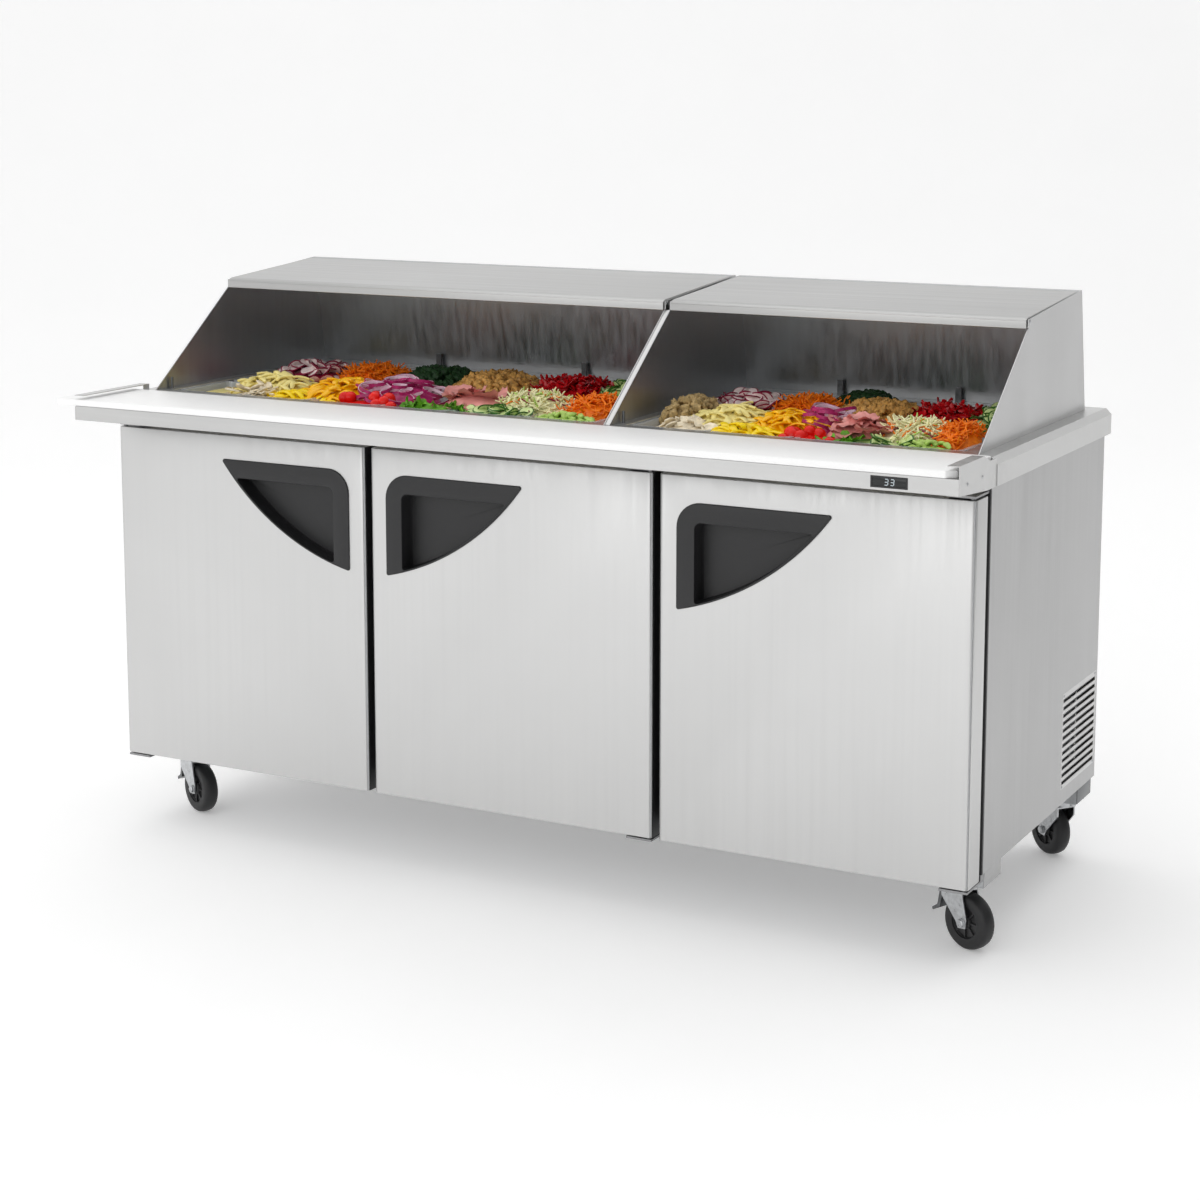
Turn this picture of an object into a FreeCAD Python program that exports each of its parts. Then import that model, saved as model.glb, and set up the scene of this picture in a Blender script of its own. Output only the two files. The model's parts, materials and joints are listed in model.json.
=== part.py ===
import FreeCAD, Part
import math
import os
import re

import Sketcher
from FreeCAD import Placement, Rotation, Vector

# Refrigerated sandwich prep table: a three-door cabinet on casters, a counter with two
# wells of food pans under two hoods with folding lids, and a cutting board along the front.
# Frame: +Z up, front towards -Y, origin on the floor under the middle of the bounding box.
# Formulas give X from the cabinet's centre; the helpers add the small shift that the
# overhanging cutting board gives the bounding box.

doc = FreeCAD.newDocument("prep_table")
dims = doc.addObject("Spreadsheet::Sheet", "Dims")

DRIVING = {
    # whole table
    "overall_depth": 864, "overall_width": 1845, "apron_width": 1842,
    "board_overhang": 46, "cabinet_width": 1820, "cabinet_bottom": 158,
    "counter_top": 895, "sheet": 1.5,
    # doors
    "door_setback": 118, "door_thickness": 58, "gasket_depth": 14, "gasket_gap": 0.5,
    "door_bottom": 150, "door_top": 830, "door_gap": 13, "gap_centre": 309, "door_round": 8,
    "gasket_inset": 11, "gasket_width": 22, "pivot_inset": 10, "pivot_depth": 12,
    "pin_radius": 4.5, "pin_clearance": 0.06, "hinge_gap": 3, "hinge_plate": 4,
    "hinge_reach": 44,
    # door handles: the raised rim, the cup let into the door, and the hollow for the fingers
    "handle_drop": 47, "handle_edge": 36, "rim_rise": 3, "cup_deep": 34, "cup_floor": 3,
    "rim_border": 0, "rim_width": 302, "rim_height": 198, "rim_corner": 47, "rim_bow": 510,
    "cup_border": 6, "cup_width": 288, "cup_height": 187, "cup_corner": 41, "cup_bow": 504,
    "hollow_border": 38, "hollow_width": 220, "hollow_height": 141, "hollow_corner": 10,
    "hollow_bow": 480,
    # counter and work shelf
    "band_height": 49, "bevel_height": 11, "shelf_rear": 186, "apron_bottom": 857,
    "board_bottom": 885, "board_thickness": 13, "board_depth": 184, "board_chamfer": 16,
    "board_end_gap": 7.5, "flange_height": 907, "flange_width": 20, "flange_length": 120,
    "apron_lip": 20, "bracket_slope": 34, "bracket_foot": 45, "slot_length": 20,
    "display_x": 799, "display_width": 66, "display_z": 871,
    "display_height": 20, "display_border": 3, "display_deep": 16, "screw_radius": 3.5,
    # hoods
    "hood_half_width": 883, "hood_split": 163, "hood_split_gap": 9, "hood_sheet": 2,
    "hood_front_foot": -227, "hood_back_foot": 385, "lip_front": 21, "lip_bottom": 1086,
    "lip_top": 1106, "hood_back_y": 345, "hood_back_z": 1130,
    "lid_pivot_y": 33, "lid_pivot_z": 1098, "lid_length": 298, "lid_thickness": 15,
    "lid_skin": 1.5, "lid_gap": 1.5, "lid_cap": 10, "lid_pin_radius": 3.5,
    "clip_height": 30, "peg_radius": 3, "peg_height": 22,
    # pan wells
    "well_front": -205, "well_back": 345, "left_well_start": -856, "pan_pitch_x": 163,
    "right_well_start": 191, "pan_pitch_y": 183.33, "pan_width": 160, "pan_depth": 174,
    "pan_body_inset": 7, "pan_deep": 100, "pan_wall": 2, "rim": 2, "well_margin": 3,
    "heap_rise": 22, "heap_drop": 12, "bar_height": 8,
    # storage space and its shelves
    "store_half_width": 859, "store_bottom": 208, "store_top": 741, "store_back": 382,
    "mullion_half": 36, "shelf_level": 486, "shelf_front_y": -200, "shelf_back_y": 140,
    "shelf_wire": 4,
    # machine compartment, at the right rear
    "machine_x": 330, "machine_y": 205, "machine_top": 385, "machine_wall": 45,
    "louvre_pitch": 14.6, "louvre_height": 8, "slot_pitch": 175, "slot_width": 150,
    "gland_radius": 9, "gland_bore": 5, "gland_length": 30,
    "control_x": 340, "control_y": 225, "control_z": 200, "control_deep": 12,
    # evaporator and condensing unit
    "fin_pitch": 9, "fin": 1.2, "tube_radius": 5, "tube_end": 6, "line_radius": 4,
    "first_tube": 32, "evaporator_tube_pitch": 37, "condenser_tube_pitch": 32,
    "hub_length": 22, "blade_root": 14, "blade_width": 34, "motor_radius": 27,
    "blower_motor_length": 40, "dome_draw": 22,
    "evaporator_left": 420, "evaporator_right": 800, "evaporator_front": 215,
    "evaporator_back": 378, "evaporator_low": 450, "evaporator_high": 700,
    "blower_x": 560, "blower_z": 575, "blower_radius": 78, "blower_hub_y": 264,
    "condenser_left": 560, "condenser_tube_y": 402, "condenser_low": 172, "condenser_high": 372,
    "cooler_x": 700, "cooler_z": 272, "cooler_radius": 92, "cooler_hub_y": 346,
    "shaft_radius": 4, "compressor_x": 440, "compressor_y": 310, "compressor_radius": 68,
    "compressor_base": 168, "compressor_high": 288, "cap_high": 310,
    "suction_x": 434, "suction_y": 346, "liquid_x": 430, "liquid_y": 268, "liquid_z": 350,
    # casters
    "wheel_radius": 51, "wheel_width": 32, "caster_trail": 26, "axle_radius": 5,
    "crown_level": 106, "crown_half": 24, "leg_thick": 3,
    "plate_top": 126, "plate_thick": 4, "kingpin_radius": 6,
    "front_swivel_y": -175, "rear_swivel_y": 374, "front_swivel_x": 847,
    "rear_swivel_x": 858, "channel_half": 45, "front_turn": -24, "rear_turn": 143,
    "pedal_pin_x": -14, "pedal_pin_z": 97, "pedal_pin_radius": 3,
}
for row, (alias, number) in enumerate(DRIVING.items(), start=1):
    dims.set(f"A{row}", alias)
    dims.set(f"B{row}", str(number))
    dims.setAlias(f"B{row}", alias)
doc.recompute()

ALIAS = re.compile(r"\b(" + "|".join(DRIVING) + r")\b")
CENTRE_X = "board_overhang/2"
FRONT = "-overall_depth/2"
BACK = "overall_depth/2"
DOOR_FRONT = f"({FRONT} + door_setback)"
DOOR_BACK = f"({DOOR_FRONT} + door_thickness)"
CABINET_FRONT = f"({DOOR_BACK} + gasket_depth)"
HALF = "cabinet_width/2"
BAND_BOTTOM = "(counter_top - band_height)"
SHELF_REAR = f"({FRONT} + shelf_rear)"
DECK = "(counter_top - sheet)"

exports = []


def value(alias):
    """The number that the sheet holds for one alias."""
    return float(dims.get(alias))


def bound(obj, prop, formula):
    """Bind a property to a formula of the sheet's aliases."""
    obj.setExpression(prop, ALIAS.sub(r"Dims.\1", str(formula)))


def part(obj, label):
    """Mark an object as a finished sub-part, which is written under its label."""
    obj.Label = label
    exports.append(obj)
    return obj


def block(name, x, y, z):
    """A box between two formulas along each axis."""
    box = doc.addObject("Part::Box", name)
    sizes = zip(("Length", "Width", "Height"), "xyz", (x, y, z))
    for size, axis, (low, high) in sizes:
        shift = f" + {CENTRE_X}" if axis == "x" else ""
        bound(box, size, f"({high}) - ({low})")
        bound(box, f"Placement.Base.{axis}", f"({low}){shift}")
    return box


TURNS = {"x": Rotation(Vector(0, 1, 0), 90), "y": Rotation(Vector(1, 0, 0), -90),
         "z": Rotation()}


def rod(name, axis, start, radius, length):
    """A cylinder from a starting point, given as three formulas, along +x, +y or +z."""
    cylinder = doc.addObject("Part::Cylinder", name)
    cylinder.Placement = Placement(Vector(), TURNS[axis])
    bound(cylinder, "Radius", radius)
    bound(cylinder, "Height", length)
    for letter, formula in zip("xyz", start):
        shift = f" + {CENTRE_X}" if letter == "x" else ""
        bound(cylinder, f"Placement.Base.{letter}", f"({formula}){shift}")
    return cylinder


def joined(name, shapes):
    fuse = doc.addObject("Part::MultiFuse", name)
    fuse.Shapes = shapes
    return fuse


def grouped(name, shapes):
    """Separate solids of one kind, kept together in one compound."""
    group = doc.addObject("Part::Compound", name)
    group.Links = shapes
    return group


def cut(name, base, tools):
    """The base with one or more tools taken away."""
    if len(tools) > 1:
        tool = joined(name + "_tools", tools)
    else:
        tool = tools[0]
    result = doc.addObject("Part::Cut", name)
    result.Base = base
    result.Tool = tool
    return result


def outline(body, name, plane, corners, offset):
    """A closed sketch of straight lines whose corners are pairs of bound formulas."""
    sketch = body.newObject("Sketcher::SketchObject", name)
    base = next(f for f in body.Origin.OriginFeatures if f.Role == plane)
    sketch.AttachmentSupport = [(base, "")]
    sketch.MapMode = "FlatFace"
    bound(sketch, "AttachmentOffset.Base.z", offset)
    count = len(corners)
    angles = [2 * math.pi * i / count for i in range(count)]
    ring = [Vector(100 * math.cos(a), 100 * math.sin(a), 0) for a in angles]
    for i in range(count):
        sketch.addGeometry(Part.LineSegment(ring[i], ring[(i + 1) % count]))
    for i in range(count):
        sketch.addConstraint(Sketcher.Constraint("Coincident", i, 2, (i + 1) % count, 1))
    for i, corner in enumerate(corners):
        for kind, letter, formula in zip(("DistanceX", "DistanceY"), "uv", corner):
            start = ring[i].x if letter == "u" else ring[i].y
            index = sketch.addConstraint(Sketcher.Constraint(kind, -1, 1, i, 1, start))
            sketch.renameConstraint(index, f"{letter}{i}")
            bound(sketch, f"Constraints.{letter}{i}", formula)
    return sketch


def extruded(name, axis, corners, span):
    """A body padded from one outline: (y, z) corners along x, (x, z) along y, (x, y) along z."""
    body = doc.addObject("PartDesign::Body", name)
    plane = {"x": "YZ_Plane", "y": "XZ_Plane", "z": "XY_Plane"}[axis]
    low, high = span
    offset = f"-({low})" if axis == "y" else low
    sketch = outline(body, name + "_outline", plane, corners, offset)
    pad = body.newObject("PartDesign::Pad", name + "_pad")
    pad.Profile = sketch
    pad.Reversed = axis == "y"
    bound(pad, "Length", f"({high}) - ({low})")
    bound(body, "Placement.Base.x", CENTRE_X)
    return body


def mirrored(side, formula):
    """A formula of X on the right (side 1) or the left (side -1)."""
    return f"{side}*({formula})"


# ---------------------------------------------------------------- cabinet body
def storage(name, inset):
    """The storage space with its step over the machine compartment and its two wells."""
    main = block(name + "_main", (f"-store_half_width + {inset}", f"store_half_width - {inset}"),
                 (CABINET_FRONT, f"store_back - {inset}"),
                 (f"store_bottom + {inset}", f"store_top - {inset}"))
    step = block(name + "_step", (f"machine_x - machine_wall - {inset}", "store_half_width + 1"),
                 (f"machine_y - machine_wall - {inset}", "store_back + 1"),
                 ("store_bottom - 1", f"machine_top + machine_wall + {inset}"))
    stepped = cut(name + "_stepped", main, [step])
    throats = [
        block(f"{name}_throat_{i}", (f"{start} + {inset}", f"{end} - {inset}"),
              (f"well_front + {inset}", f"well_back - {inset}"),
              (f"store_top - {inset} - 1", DECK))
        for i, (start, end) in enumerate(WELLS)
    ]
    return joined(name, [stepped] + throats)


# rows of slots in the louvred panels
LOUVRE_ROWS = 12
# columns of pans in each well, and each well's first and last X
LEFT_COLUMNS = 6
RIGHT_COLUMNS = 4
WELLS = [("left_well_start", f"left_well_start + {LEFT_COLUMNS}*pan_pitch_x + 2*well_margin"),
         ("right_well_start", f"right_well_start + {RIGHT_COLUMNS}*pan_pitch_x + 2*well_margin")]
SKIN_FRONT = f"({CABINET_FRONT} + 6)"
SKIN_HALF = f"({HALF} - sheet)"
GLAND_X = "machine_x + 22"
GLAND_Z = "(machine_top - 85)"


def cabinet_shell():
    """Bottom, sides and back of thin sheet, with the machine compartment's two openings."""
    outer = block("shell_outer", (f"-{HALF}", HALF), (SKIN_FRONT, BACK),
                  ("cabinet_bottom", BAND_BOTTOM))
    inner = block("shell_inner", (f"-{SKIN_HALF}", SKIN_HALF),
                  (f"{SKIN_FRONT} - 1", f"{BACK} - sheet"),
                  ("cabinet_bottom + sheet", f"{BAND_BOTTOM} + 1"))
    side_hole = block("side_vent", (f"{SKIN_HALF} - 1", f"{HALF} + 1"),
                      ("machine_y + 3", f"{BACK} - 8"), ("cabinet_bottom + 30", "machine_top - 10"))
    rear_hole = block("rear_vent", ("machine_x + 5", f"{SKIN_HALF} - 6"),
                      (f"{BACK} - sheet - 1", f"{BACK} + 1"),
                      ("cabinet_bottom + 20", "machine_top - 5"))
    folded = cut("shell_folded", outer, [inner, side_hole, rear_hole])
    cheek = block("shell_cheek", (f"{SKIN_HALF} - 6", f"{SKIN_HALF} - 6 + sheet"),
                  ("machine_y", "machine_y + 72"), ("cabinet_bottom + 64", "machine_top"))
    part(joined("shell", [folded, cheek]), "cabinet_shell")


def suction_hole(name):
    """The way for the suction line up through the insulation and the sheets above it."""
    return rod(name, "z", ("suction_x", "suction_y", "machine_top - 5"), "line_radius + 2",
               "evaporator_low - machine_top + 10")


def foam():
    """The insulation between the shell and the liner."""
    outer = block("foam_outer", (f"-{SKIN_HALF}", SKIN_HALF), (SKIN_FRONT, f"{BACK} - sheet"),
                  ("cabinet_bottom + sheet", DECK))
    machine = block("foam_machine", ("machine_x", f"{SKIN_HALF} + 1"), ("machine_y", BACK),
                    ("cabinet_bottom", "machine_top"))
    part(cut("foam", outer, [storage("foam_storage", "0"), machine, suction_hole("foam_line")]),
         "foam_insulation")


def liner():
    """The inner tub: floor, walls, ceiling and the throats of the two wells."""
    tub = cut("liner_tub", storage("liner_outer", "0"), [storage("liner_inner", "sheet")])
    lips = block("liner_front", ("-store_half_width", "store_half_width"),
                 (f"{CABINET_FRONT} - 1", SKIN_FRONT), ("store_bottom", "store_top"))
    part(cut("liner", tub, [lips, suction_hole("liner_line")]), "cabinet_liner")


def front_frame():
    """The face that the door gaskets close on, with an opening for each door."""
    plate = block("frame_plate", (f"-{HALF}", HALF), (CABINET_FRONT, SKIN_FRONT),
                  ("cabinet_bottom", BAND_BOTTOM))
    bays = [("-store_half_width + 3", "-gap_centre - mullion_half"),
            ("-gap_centre + mullion_half", "gap_centre - mullion_half"),
            ("gap_centre + mullion_half", "store_half_width - 3")]
    holes = [block(f"frame_hole_{i}", bay, (f"{CABINET_FRONT} - 1", f"{SKIN_FRONT} + 1"),
                   ("store_bottom + 3", "store_top - 3")) for i, bay in enumerate(bays)]
    part(cut("frame", plate, holes), "front_frame")


def louvres():
    """Two vented panels: slots under slanted blades on the side, and on the rear."""
    side = block("side_panel", (SKIN_HALF, HALF), ("machine_y + 3", f"{BACK} - 8"),
                 ("cabinet_bottom + 30", "machine_top - 10"))
    slots = [
        block(f"side_slot_{i}", (f"{SKIN_HALF} - 1", f"{HALF} + 1"),
              ("machine_y + 8", f"{BACK} - 14"),
              (f"cabinet_bottom + 38 + louvre_pitch*{i}",
               f"cabinet_bottom + 38 + louvre_pitch*{i} + louvre_height"))
        for i in range(LOUVRE_ROWS)
    ]
    part(cut("side_grille", side, slots), "side_louvre_panel")
    rear = block("rear_panel", ("machine_x + 5", f"{SKIN_HALF} - 6"), (f"{BACK} - sheet", BACK),
                 ("cabinet_bottom + 20", "machine_top - 5"))
    slots = [
        block(f"rear_slot_{i}_{j}",
              (f"machine_x + 40 + slot_pitch*{j}", f"machine_x + 40 + slot_pitch*{j} + slot_width"),
              (f"{BACK} - sheet - 1", f"{BACK} + 1"),
              (f"cabinet_bottom + 30 + louvre_pitch*{i}",
               f"cabinet_bottom + 30 + louvre_pitch*{i} + louvre_height"))
        for i in range(LOUVRE_ROWS) for j in range(3)
    ]
    slots.append(rod("gland_hole", "y", (GLAND_X, f"{BACK} - sheet - 1", GLAND_Z), "gland_radius",
                     "sheet + 2"))
    part(cut("rear_grille_plate", rear, slots), "rear_grille")


def base_channels():
    """Two box channels across the underside that carry the casters."""
    channels = []
    for name in ("front", "rear"):
        centre = f"{name}_swivel_y"
        outer = block(f"channel_{name}_outer", (f"-{HALF} + 4", f"{HALF} - 4"),
                      (f"{centre} - channel_half", f"{centre} + channel_half"),
                      ("plate_top", "cabinet_bottom"))
        inner = block(f"channel_{name}_inner", (f"-{HALF} + 3", f"{HALF} - 3"),
                      (f"{centre} - channel_half + 3", f"{centre} + channel_half - 3"),
                      ("plate_top + 3", "cabinet_bottom - 3"))
        channels.append(cut(f"channel_{name}", outer, [inner]))
    part(grouped("channels", channels), "base_channels")


# ---------------------------------------------------------------- counter, shelf and board
def counter():
    """The deck with its two well openings and the folded, bevelled bands round its edge."""
    deck = block("deck_plate", (f"-{HALF}", HALF), (SHELF_REAR, BACK), (DECK, "counter_top"))
    holes = [block(f"deck_hole_{i}", (f"{low} - 1", f"{high} + 1"),
                   ("well_front - 1", "well_back + 1"), (f"{DECK} - 1", "counter_top + 1"))
             for i, (low, high) in enumerate(WELLS)]
    pieces = [cut("deck", deck, holes)]
    for side, name in ((-1, "left"), (1, "right")):
        outer_x = "overall_width/2"
        profile = [(mirrored(side, outer_x), BAND_BOTTOM),
                   (mirrored(side, outer_x), "counter_top - bevel_height"),
                   (mirrored(side, f"{HALF} + 1.5"), "counter_top"),
                   (mirrored(side, SKIN_HALF), "counter_top"),
                   (mirrored(side, SKIN_HALF), DECK),
                   (mirrored(side, f"{HALF} + 0.9"), DECK),
                   (mirrored(side, f"{outer_x} - sheet"), "counter_top - bevel_height - 0.6"),
                   (mirrored(side, f"{outer_x} - sheet"), f"{BAND_BOTTOM} + sheet"),
                   (mirrored(side, SKIN_HALF), f"{BAND_BOTTOM} + sheet"),
                   (mirrored(side, SKIN_HALF), BAND_BOTTOM)]
        pieces.append(extruded(f"band_{name}", "y", profile, (SHELF_REAR, BACK)))
    pieces.append(block("band_back", (f"-{HALF} - 1", f"{HALF} + 1"), (f"{BACK} - sheet", BACK),
                        (BAND_BOTTOM, "counter_top")))
    pieces.append(block("band_front", (f"-{HALF} - 1", f"{HALF} + 1"),
                        (SHELF_REAR, f"{SHELF_REAR} + sheet"), ("apron_bottom", "counter_top")))
    part(joined("counter", pieces), "counter_top")


def work_shelf():
    """The shelf under the cutting board, with the apron down its front."""
    half = "(apron_width/2 - sheet)"
    corners = [(FRONT, "apron_bottom"), (FRONT, "board_bottom"), (SHELF_REAR, "board_bottom"),
               (SHELF_REAR, "board_bottom - sheet"), (f"{FRONT} + sheet", "board_bottom - sheet"),
               (f"{FRONT} + sheet", "apron_bottom + sheet"),
               (f"{FRONT} + apron_lip", "apron_bottom + sheet"),
               (f"{FRONT} + apron_lip", "apron_bottom")]
    channel = extruded("shelf_channel", "x", corners, (f"-{half}", half))
    hole = block("display_hole", ("display_x - display_width/2", "display_x + display_width/2"),
                 (f"{FRONT} - 1", f"{FRONT} + sheet + 1"),
                 ("display_z - display_height/2", "display_z + display_height/2"))
    part(cut("shelf", channel, [hole]), "work_apron")


def display():
    """A flush digital readout: its housing behind the apron, and its lens."""
    low_x = "(display_x - display_width/2)"
    high_x = "(display_x + display_width/2)"
    low_z = "(display_z - display_height/2)"
    high_z = "(display_z + display_height/2)"
    housing = block("bezel_block", (low_x, high_x), (FRONT, f"{FRONT} + display_deep"), (low_z, high_z))
    face_x = (f"{low_x} + display_border", f"{high_x} - display_border")
    face_z = (f"{low_z} + display_border", f"{high_z} - display_border")
    face = block("bezel_face", face_x, (f"{FRONT} - 1", f"{FRONT} + 2"), face_z)
    part(cut("bezel", housing, [face]), "display_housing")
    part(block("lens", face_x, (f"{FRONT} + 0.5", f"{FRONT} + 2"), face_z), "display_lens")


def brackets():
    """End brackets of the work shelf: a stop plate on the right, an open slot on the left."""
    inner = "(apron_width/2 - sheet)"
    outer = "apron_width/2"
    stop = extruded("stop_plate", "x", [
        (FRONT, "apron_bottom"), (FRONT, "flange_height"),
        (f"{FRONT} + flange_length", "flange_height"), (f"{SHELF_REAR} - bracket_slope", "counter_top"),
        (SHELF_REAR, "counter_top"), (SHELF_REAR, BAND_BOTTOM),
        (f"{SHELF_REAR} - bracket_foot", BAND_BOTTOM)],
        (inner, outer))
    stop_flange = block("stop_flange", (f"{inner} - flange_width", inner),
                        (FRONT, f"{FRONT} + flange_length"), ("flange_height - sheet", "flange_height"))
    lower = extruded("slot_lower", "x", [
        (FRONT, "apron_bottom"), (FRONT, "board_bottom - sheet"),
        (SHELF_REAR, "board_bottom - sheet"), (SHELF_REAR, BAND_BOTTOM),
        (f"{SHELF_REAR} - bracket_foot", BAND_BOTTOM)], (f"-{outer}", f"-{inner}"))
    post = block("slot_post", (f"-{inner} + flange_width - sheet", f"-{inner} + flange_width"),
                 (f"{SHELF_REAR} + 2", f"{SHELF_REAR} + slot_length"),
                 ("counter_top", "flange_height - sheet"))
    arm = block("slot_flange", (f"-{outer}", f"-{inner} + flange_width"),
                (FRONT, f"{SHELF_REAR} + slot_length"), ("flange_height - sheet", "flange_height"))
    part(grouped("bracket_ends", [joined("right_end", [stop, stop_flange]), lower,
                                  joined("left_end", [post, arm])]), "board_brackets")


def screws():
    """Domed screw heads on the right bracket and at the corners of the side louvre panel."""
    heads = []
    for i, (y, z) in enumerate(((f"{FRONT} + 39", "apron_bottom + 15"),
                                (f"{FRONT} + 113", "apron_bottom + 16"))):
        heads.append(rod(f"bracket_screw_{i}", "x", ("apron_width/2", y, z), "screw_radius", "sheet"))
    corners = [(y, z) for y in ("machine_y + 11", f"{BACK} - 16")
               for z in ("cabinet_bottom + 34", "machine_top - 15")]
    for i, (y, z) in enumerate(corners):
        heads.append(rod(f"louvre_screw_{i}", "x", (HALF, y, z), "screw_radius - 0.5", "sheet"))
    part(grouped("screw_heads", heads), "screws")


def cutting_board():
    """The long white board; its front right corner is chamfered."""
    left = "-overall_width/2 - board_overhang"
    right = "apron_width/2 - sheet - board_end_gap"
    rear = f"{FRONT} + board_depth"
    corners = [(left, FRONT), (f"{right} - board_chamfer", FRONT), (right, f"{FRONT} + board_chamfer"),
               (right, rear), (left, rear)]
    board = extruded("board", "z", corners, ("board_bottom", "board_bottom + board_thickness"))
    part(board, "cutting_board")


# ---------------------------------------------------------------- hoods and lids
HOODS = [("left", "-hood_half_width", "hood_split - hood_split_gap/2"),
         ("right", "hood_split + hood_split_gap/2", "hood_half_width")]
TOP_SLOPE = "((hood_back_z - lip_top)/(hood_back_y - lip_front))"


def on_top(y, drop):
    """A point of the hood's sloping top at one y, a distance below the surface."""
    return y, f"lip_top + ({y} - lip_front)*{TOP_SLOPE} - ({drop})"


def hood(name, low, high):
    """One hood: two side panels, the back, the fixed inner top and the rear top strip."""
    sides = []
    for side, x_span in (("a", (low, f"{low} + hood_sheet")), ("b", (f"{high} - hood_sheet", high))):
        panel = extruded(f"hood_{name}_{side}", "x", [
            ("hood_front_foot", "counter_top"), ("lip_front + 4", "lip_bottom + 2"),
            ("lip_front + 4", "lip_top - 3"), on_top("hood_back_y", "0"),
            ("hood_back_foot", "counter_top")], x_span)
        hole = rod(f"hood_{name}_{side}_hole", "x", (f"{x_span[0]} - 1", "lid_pivot_y", "lid_pivot_z"),
                   "lid_pin_radius", "hood_sheet + 2")
        sides.append(cut(f"hood_{name}_{side}_panel", panel, [hole]))
    inside = (f"{low} + hood_sheet", f"{high} - hood_sheet")
    back = extruded(f"hood_{name}_back", "x", [
        ("hood_back_foot - hood_sheet", "counter_top"), ("hood_back_foot", "counter_top"),
        on_top("hood_back_y", "0"), on_top("hood_back_y - hood_sheet", 0)], inside)
    fixed = extruded(f"hood_{name}_top", "x", [
        on_top("lip_front + 29", "15.8"), on_top("lip_front + 29", "17.3"),
        on_top("hood_back_y + 2", "17.3"), on_top("hood_back_y + 2", "15.8")], inside)
    strip_y = "lid_pivot_y + lid_length + 2"
    strip = extruded(f"hood_{name}_strip", "x", [
        on_top(strip_y, "0"), on_top(strip_y, "16.5"), on_top(f"{strip_y} + 1.5", "16.5"),
        on_top(f"{strip_y} + 1.5", "1.5"), on_top("hood_back_y - 1", "1.5"),
        on_top("hood_back_y - 1", "0")], inside)
    part(joined(f"hood_{name}", sides + [back, fixed, strip]), f"hood_{name}")


def lid(name, low, high):
    """The folding lid, lying back on the hood: a folded sleeve with a lip along its hinge edge."""
    x_span = (f"{low} + hood_sheet + lid_gap", f"{high} - hood_sheet - lid_gap")
    far = "lid_pivot_y + lid_length"
    skin = extruded(f"lid_{name}_skin", "x", [
        ("lip_front", "lip_bottom"), ("lip_front", "lip_top - 4"), ("lip_front + 4", "lip_top"),
        on_top(far, "0"), on_top(far, "lid_thickness"), on_top("lip_front + 9", "lid_thickness"),
        ("lip_front + 5", "lip_bottom + 4"), ("lip_front + 5", "lip_bottom")], x_span)
    hollow = extruded(f"lid_{name}_hollow", "x", [
        ("lip_front + 6", "lip_top - 3"), on_top(f"{far} - lid_skin", "lid_skin"),
        on_top(f"{far} - lid_skin", "lid_thickness - lid_skin"),
        on_top("lip_front + 9", "lid_thickness - lid_skin")], (f"{low} - 1", f"{high} + 1"))
    caps = []
    for end, x_start in (("a", x_span[0]), ("b", f"{x_span[1]} - lid_cap")):
        caps.append(extruded(f"lid_{name}_cap_{end}", "x", [
            on_top("lip_front + 5", "1"), on_top("lip_front + 40", "1"),
            on_top("lip_front + 40", "lid_thickness - 1"), on_top("lip_front + 8", "lid_thickness - 1")],
            (x_start, f"{x_start} + lid_cap")))
    whole = joined(f"lid_{name}_whole", [cut(f"lid_{name}_sleeve", skin, [hollow])] + caps)
    bore = rod(f"lid_{name}_bore", "x", (f"{low} - 1", "lid_pivot_y", "lid_pivot_z"),
               "lid_pin_radius + pin_clearance", f"({high}) - ({low}) + 2")
    part(cut(f"lid_{name}_bored", whole, [bore]), f"lid_{name}")


def lid_pins():
    """Shoulder screws through the side panels, on which the lids turn."""
    pins = []
    for name, low, high in HOODS:
        for end, start, head in (("a", low, f"{low} - sheet"), ("b", f"{high} - lid_cap - 2", high)):
            shank = rod(f"pin_{name}_{end}", "x", (start, "lid_pivot_y", "lid_pivot_z"),
                        "lid_pin_radius", "lid_cap + 2")
            cap = rod(f"pin_head_{name}_{end}", "x", (head, "lid_pivot_y", "lid_pivot_z"),
                      "lid_pin_radius + 1.5", "sheet")
            pins.append(joined(f"pin_set_{name}_{end}", [shank, cap]))
    part(grouped("pins", pins), "lid_pivot_screws")


def hood_clips():
    """Small hooks on the hoods' back walls, and locating pegs at the side panels' feet."""
    clips = []
    for name, low, high in HOODS:
        for i, share in enumerate((0.3, 0.65)):
            x = f"({low})*{1 - share} + ({high})*{share}"
            clips.append(block(f"clip_{name}_{i}", (f"{x} - 6", f"{x} + 6"),
                               ("hood_back_foot - hood_sheet - 16", "hood_back_foot - hood_sheet - 12"),
                               ("counter_top", "counter_top + clip_height")))
        for i, x in enumerate((f"{low} + 8", f"{high} - 8")):
            clips.append(rod(f"peg_{name}_{i}", "z", (x, "hood_front_foot + 45", "counter_top"),
                             "peg_radius", "peg_height"))
    part(grouped("clips", clips), "hood_clips")


# ---------------------------------------------------------------- wells, pans and food
def pans():
    """Food pans that hang by their rims, three rows deep, and the heap of food in each."""
    pan_solids = []
    heaps = []
    for well, (start, columns) in enumerate((("left_well_start", LEFT_COLUMNS),
                                             ("right_well_start", RIGHT_COLUMNS))):
        for column in range(columns):
            for depth in range(3):
                tag = f"{well}_{column}_{depth}"
                x = f"({start} + well_margin + {column}*pan_pitch_x + (pan_pitch_x - pan_width)/2)"
                y = f"(well_front + {depth}*pan_pitch_y + (pan_pitch_y - pan_depth)/2)"
                pan_solids.append(pan(tag, x, y))
                heaps.append(heap(tag, x, y))
    part(grouped("pan_group", pan_solids), "food_pans")
    part(grouped("heap_group", heaps), "food_fill")


def inside(start, size, inset):
    """The stretch of a pan from one side to the other, drawn in by an inset."""
    return f"{start} + {inset}", f"{start} + {size} - {inset}"


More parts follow.
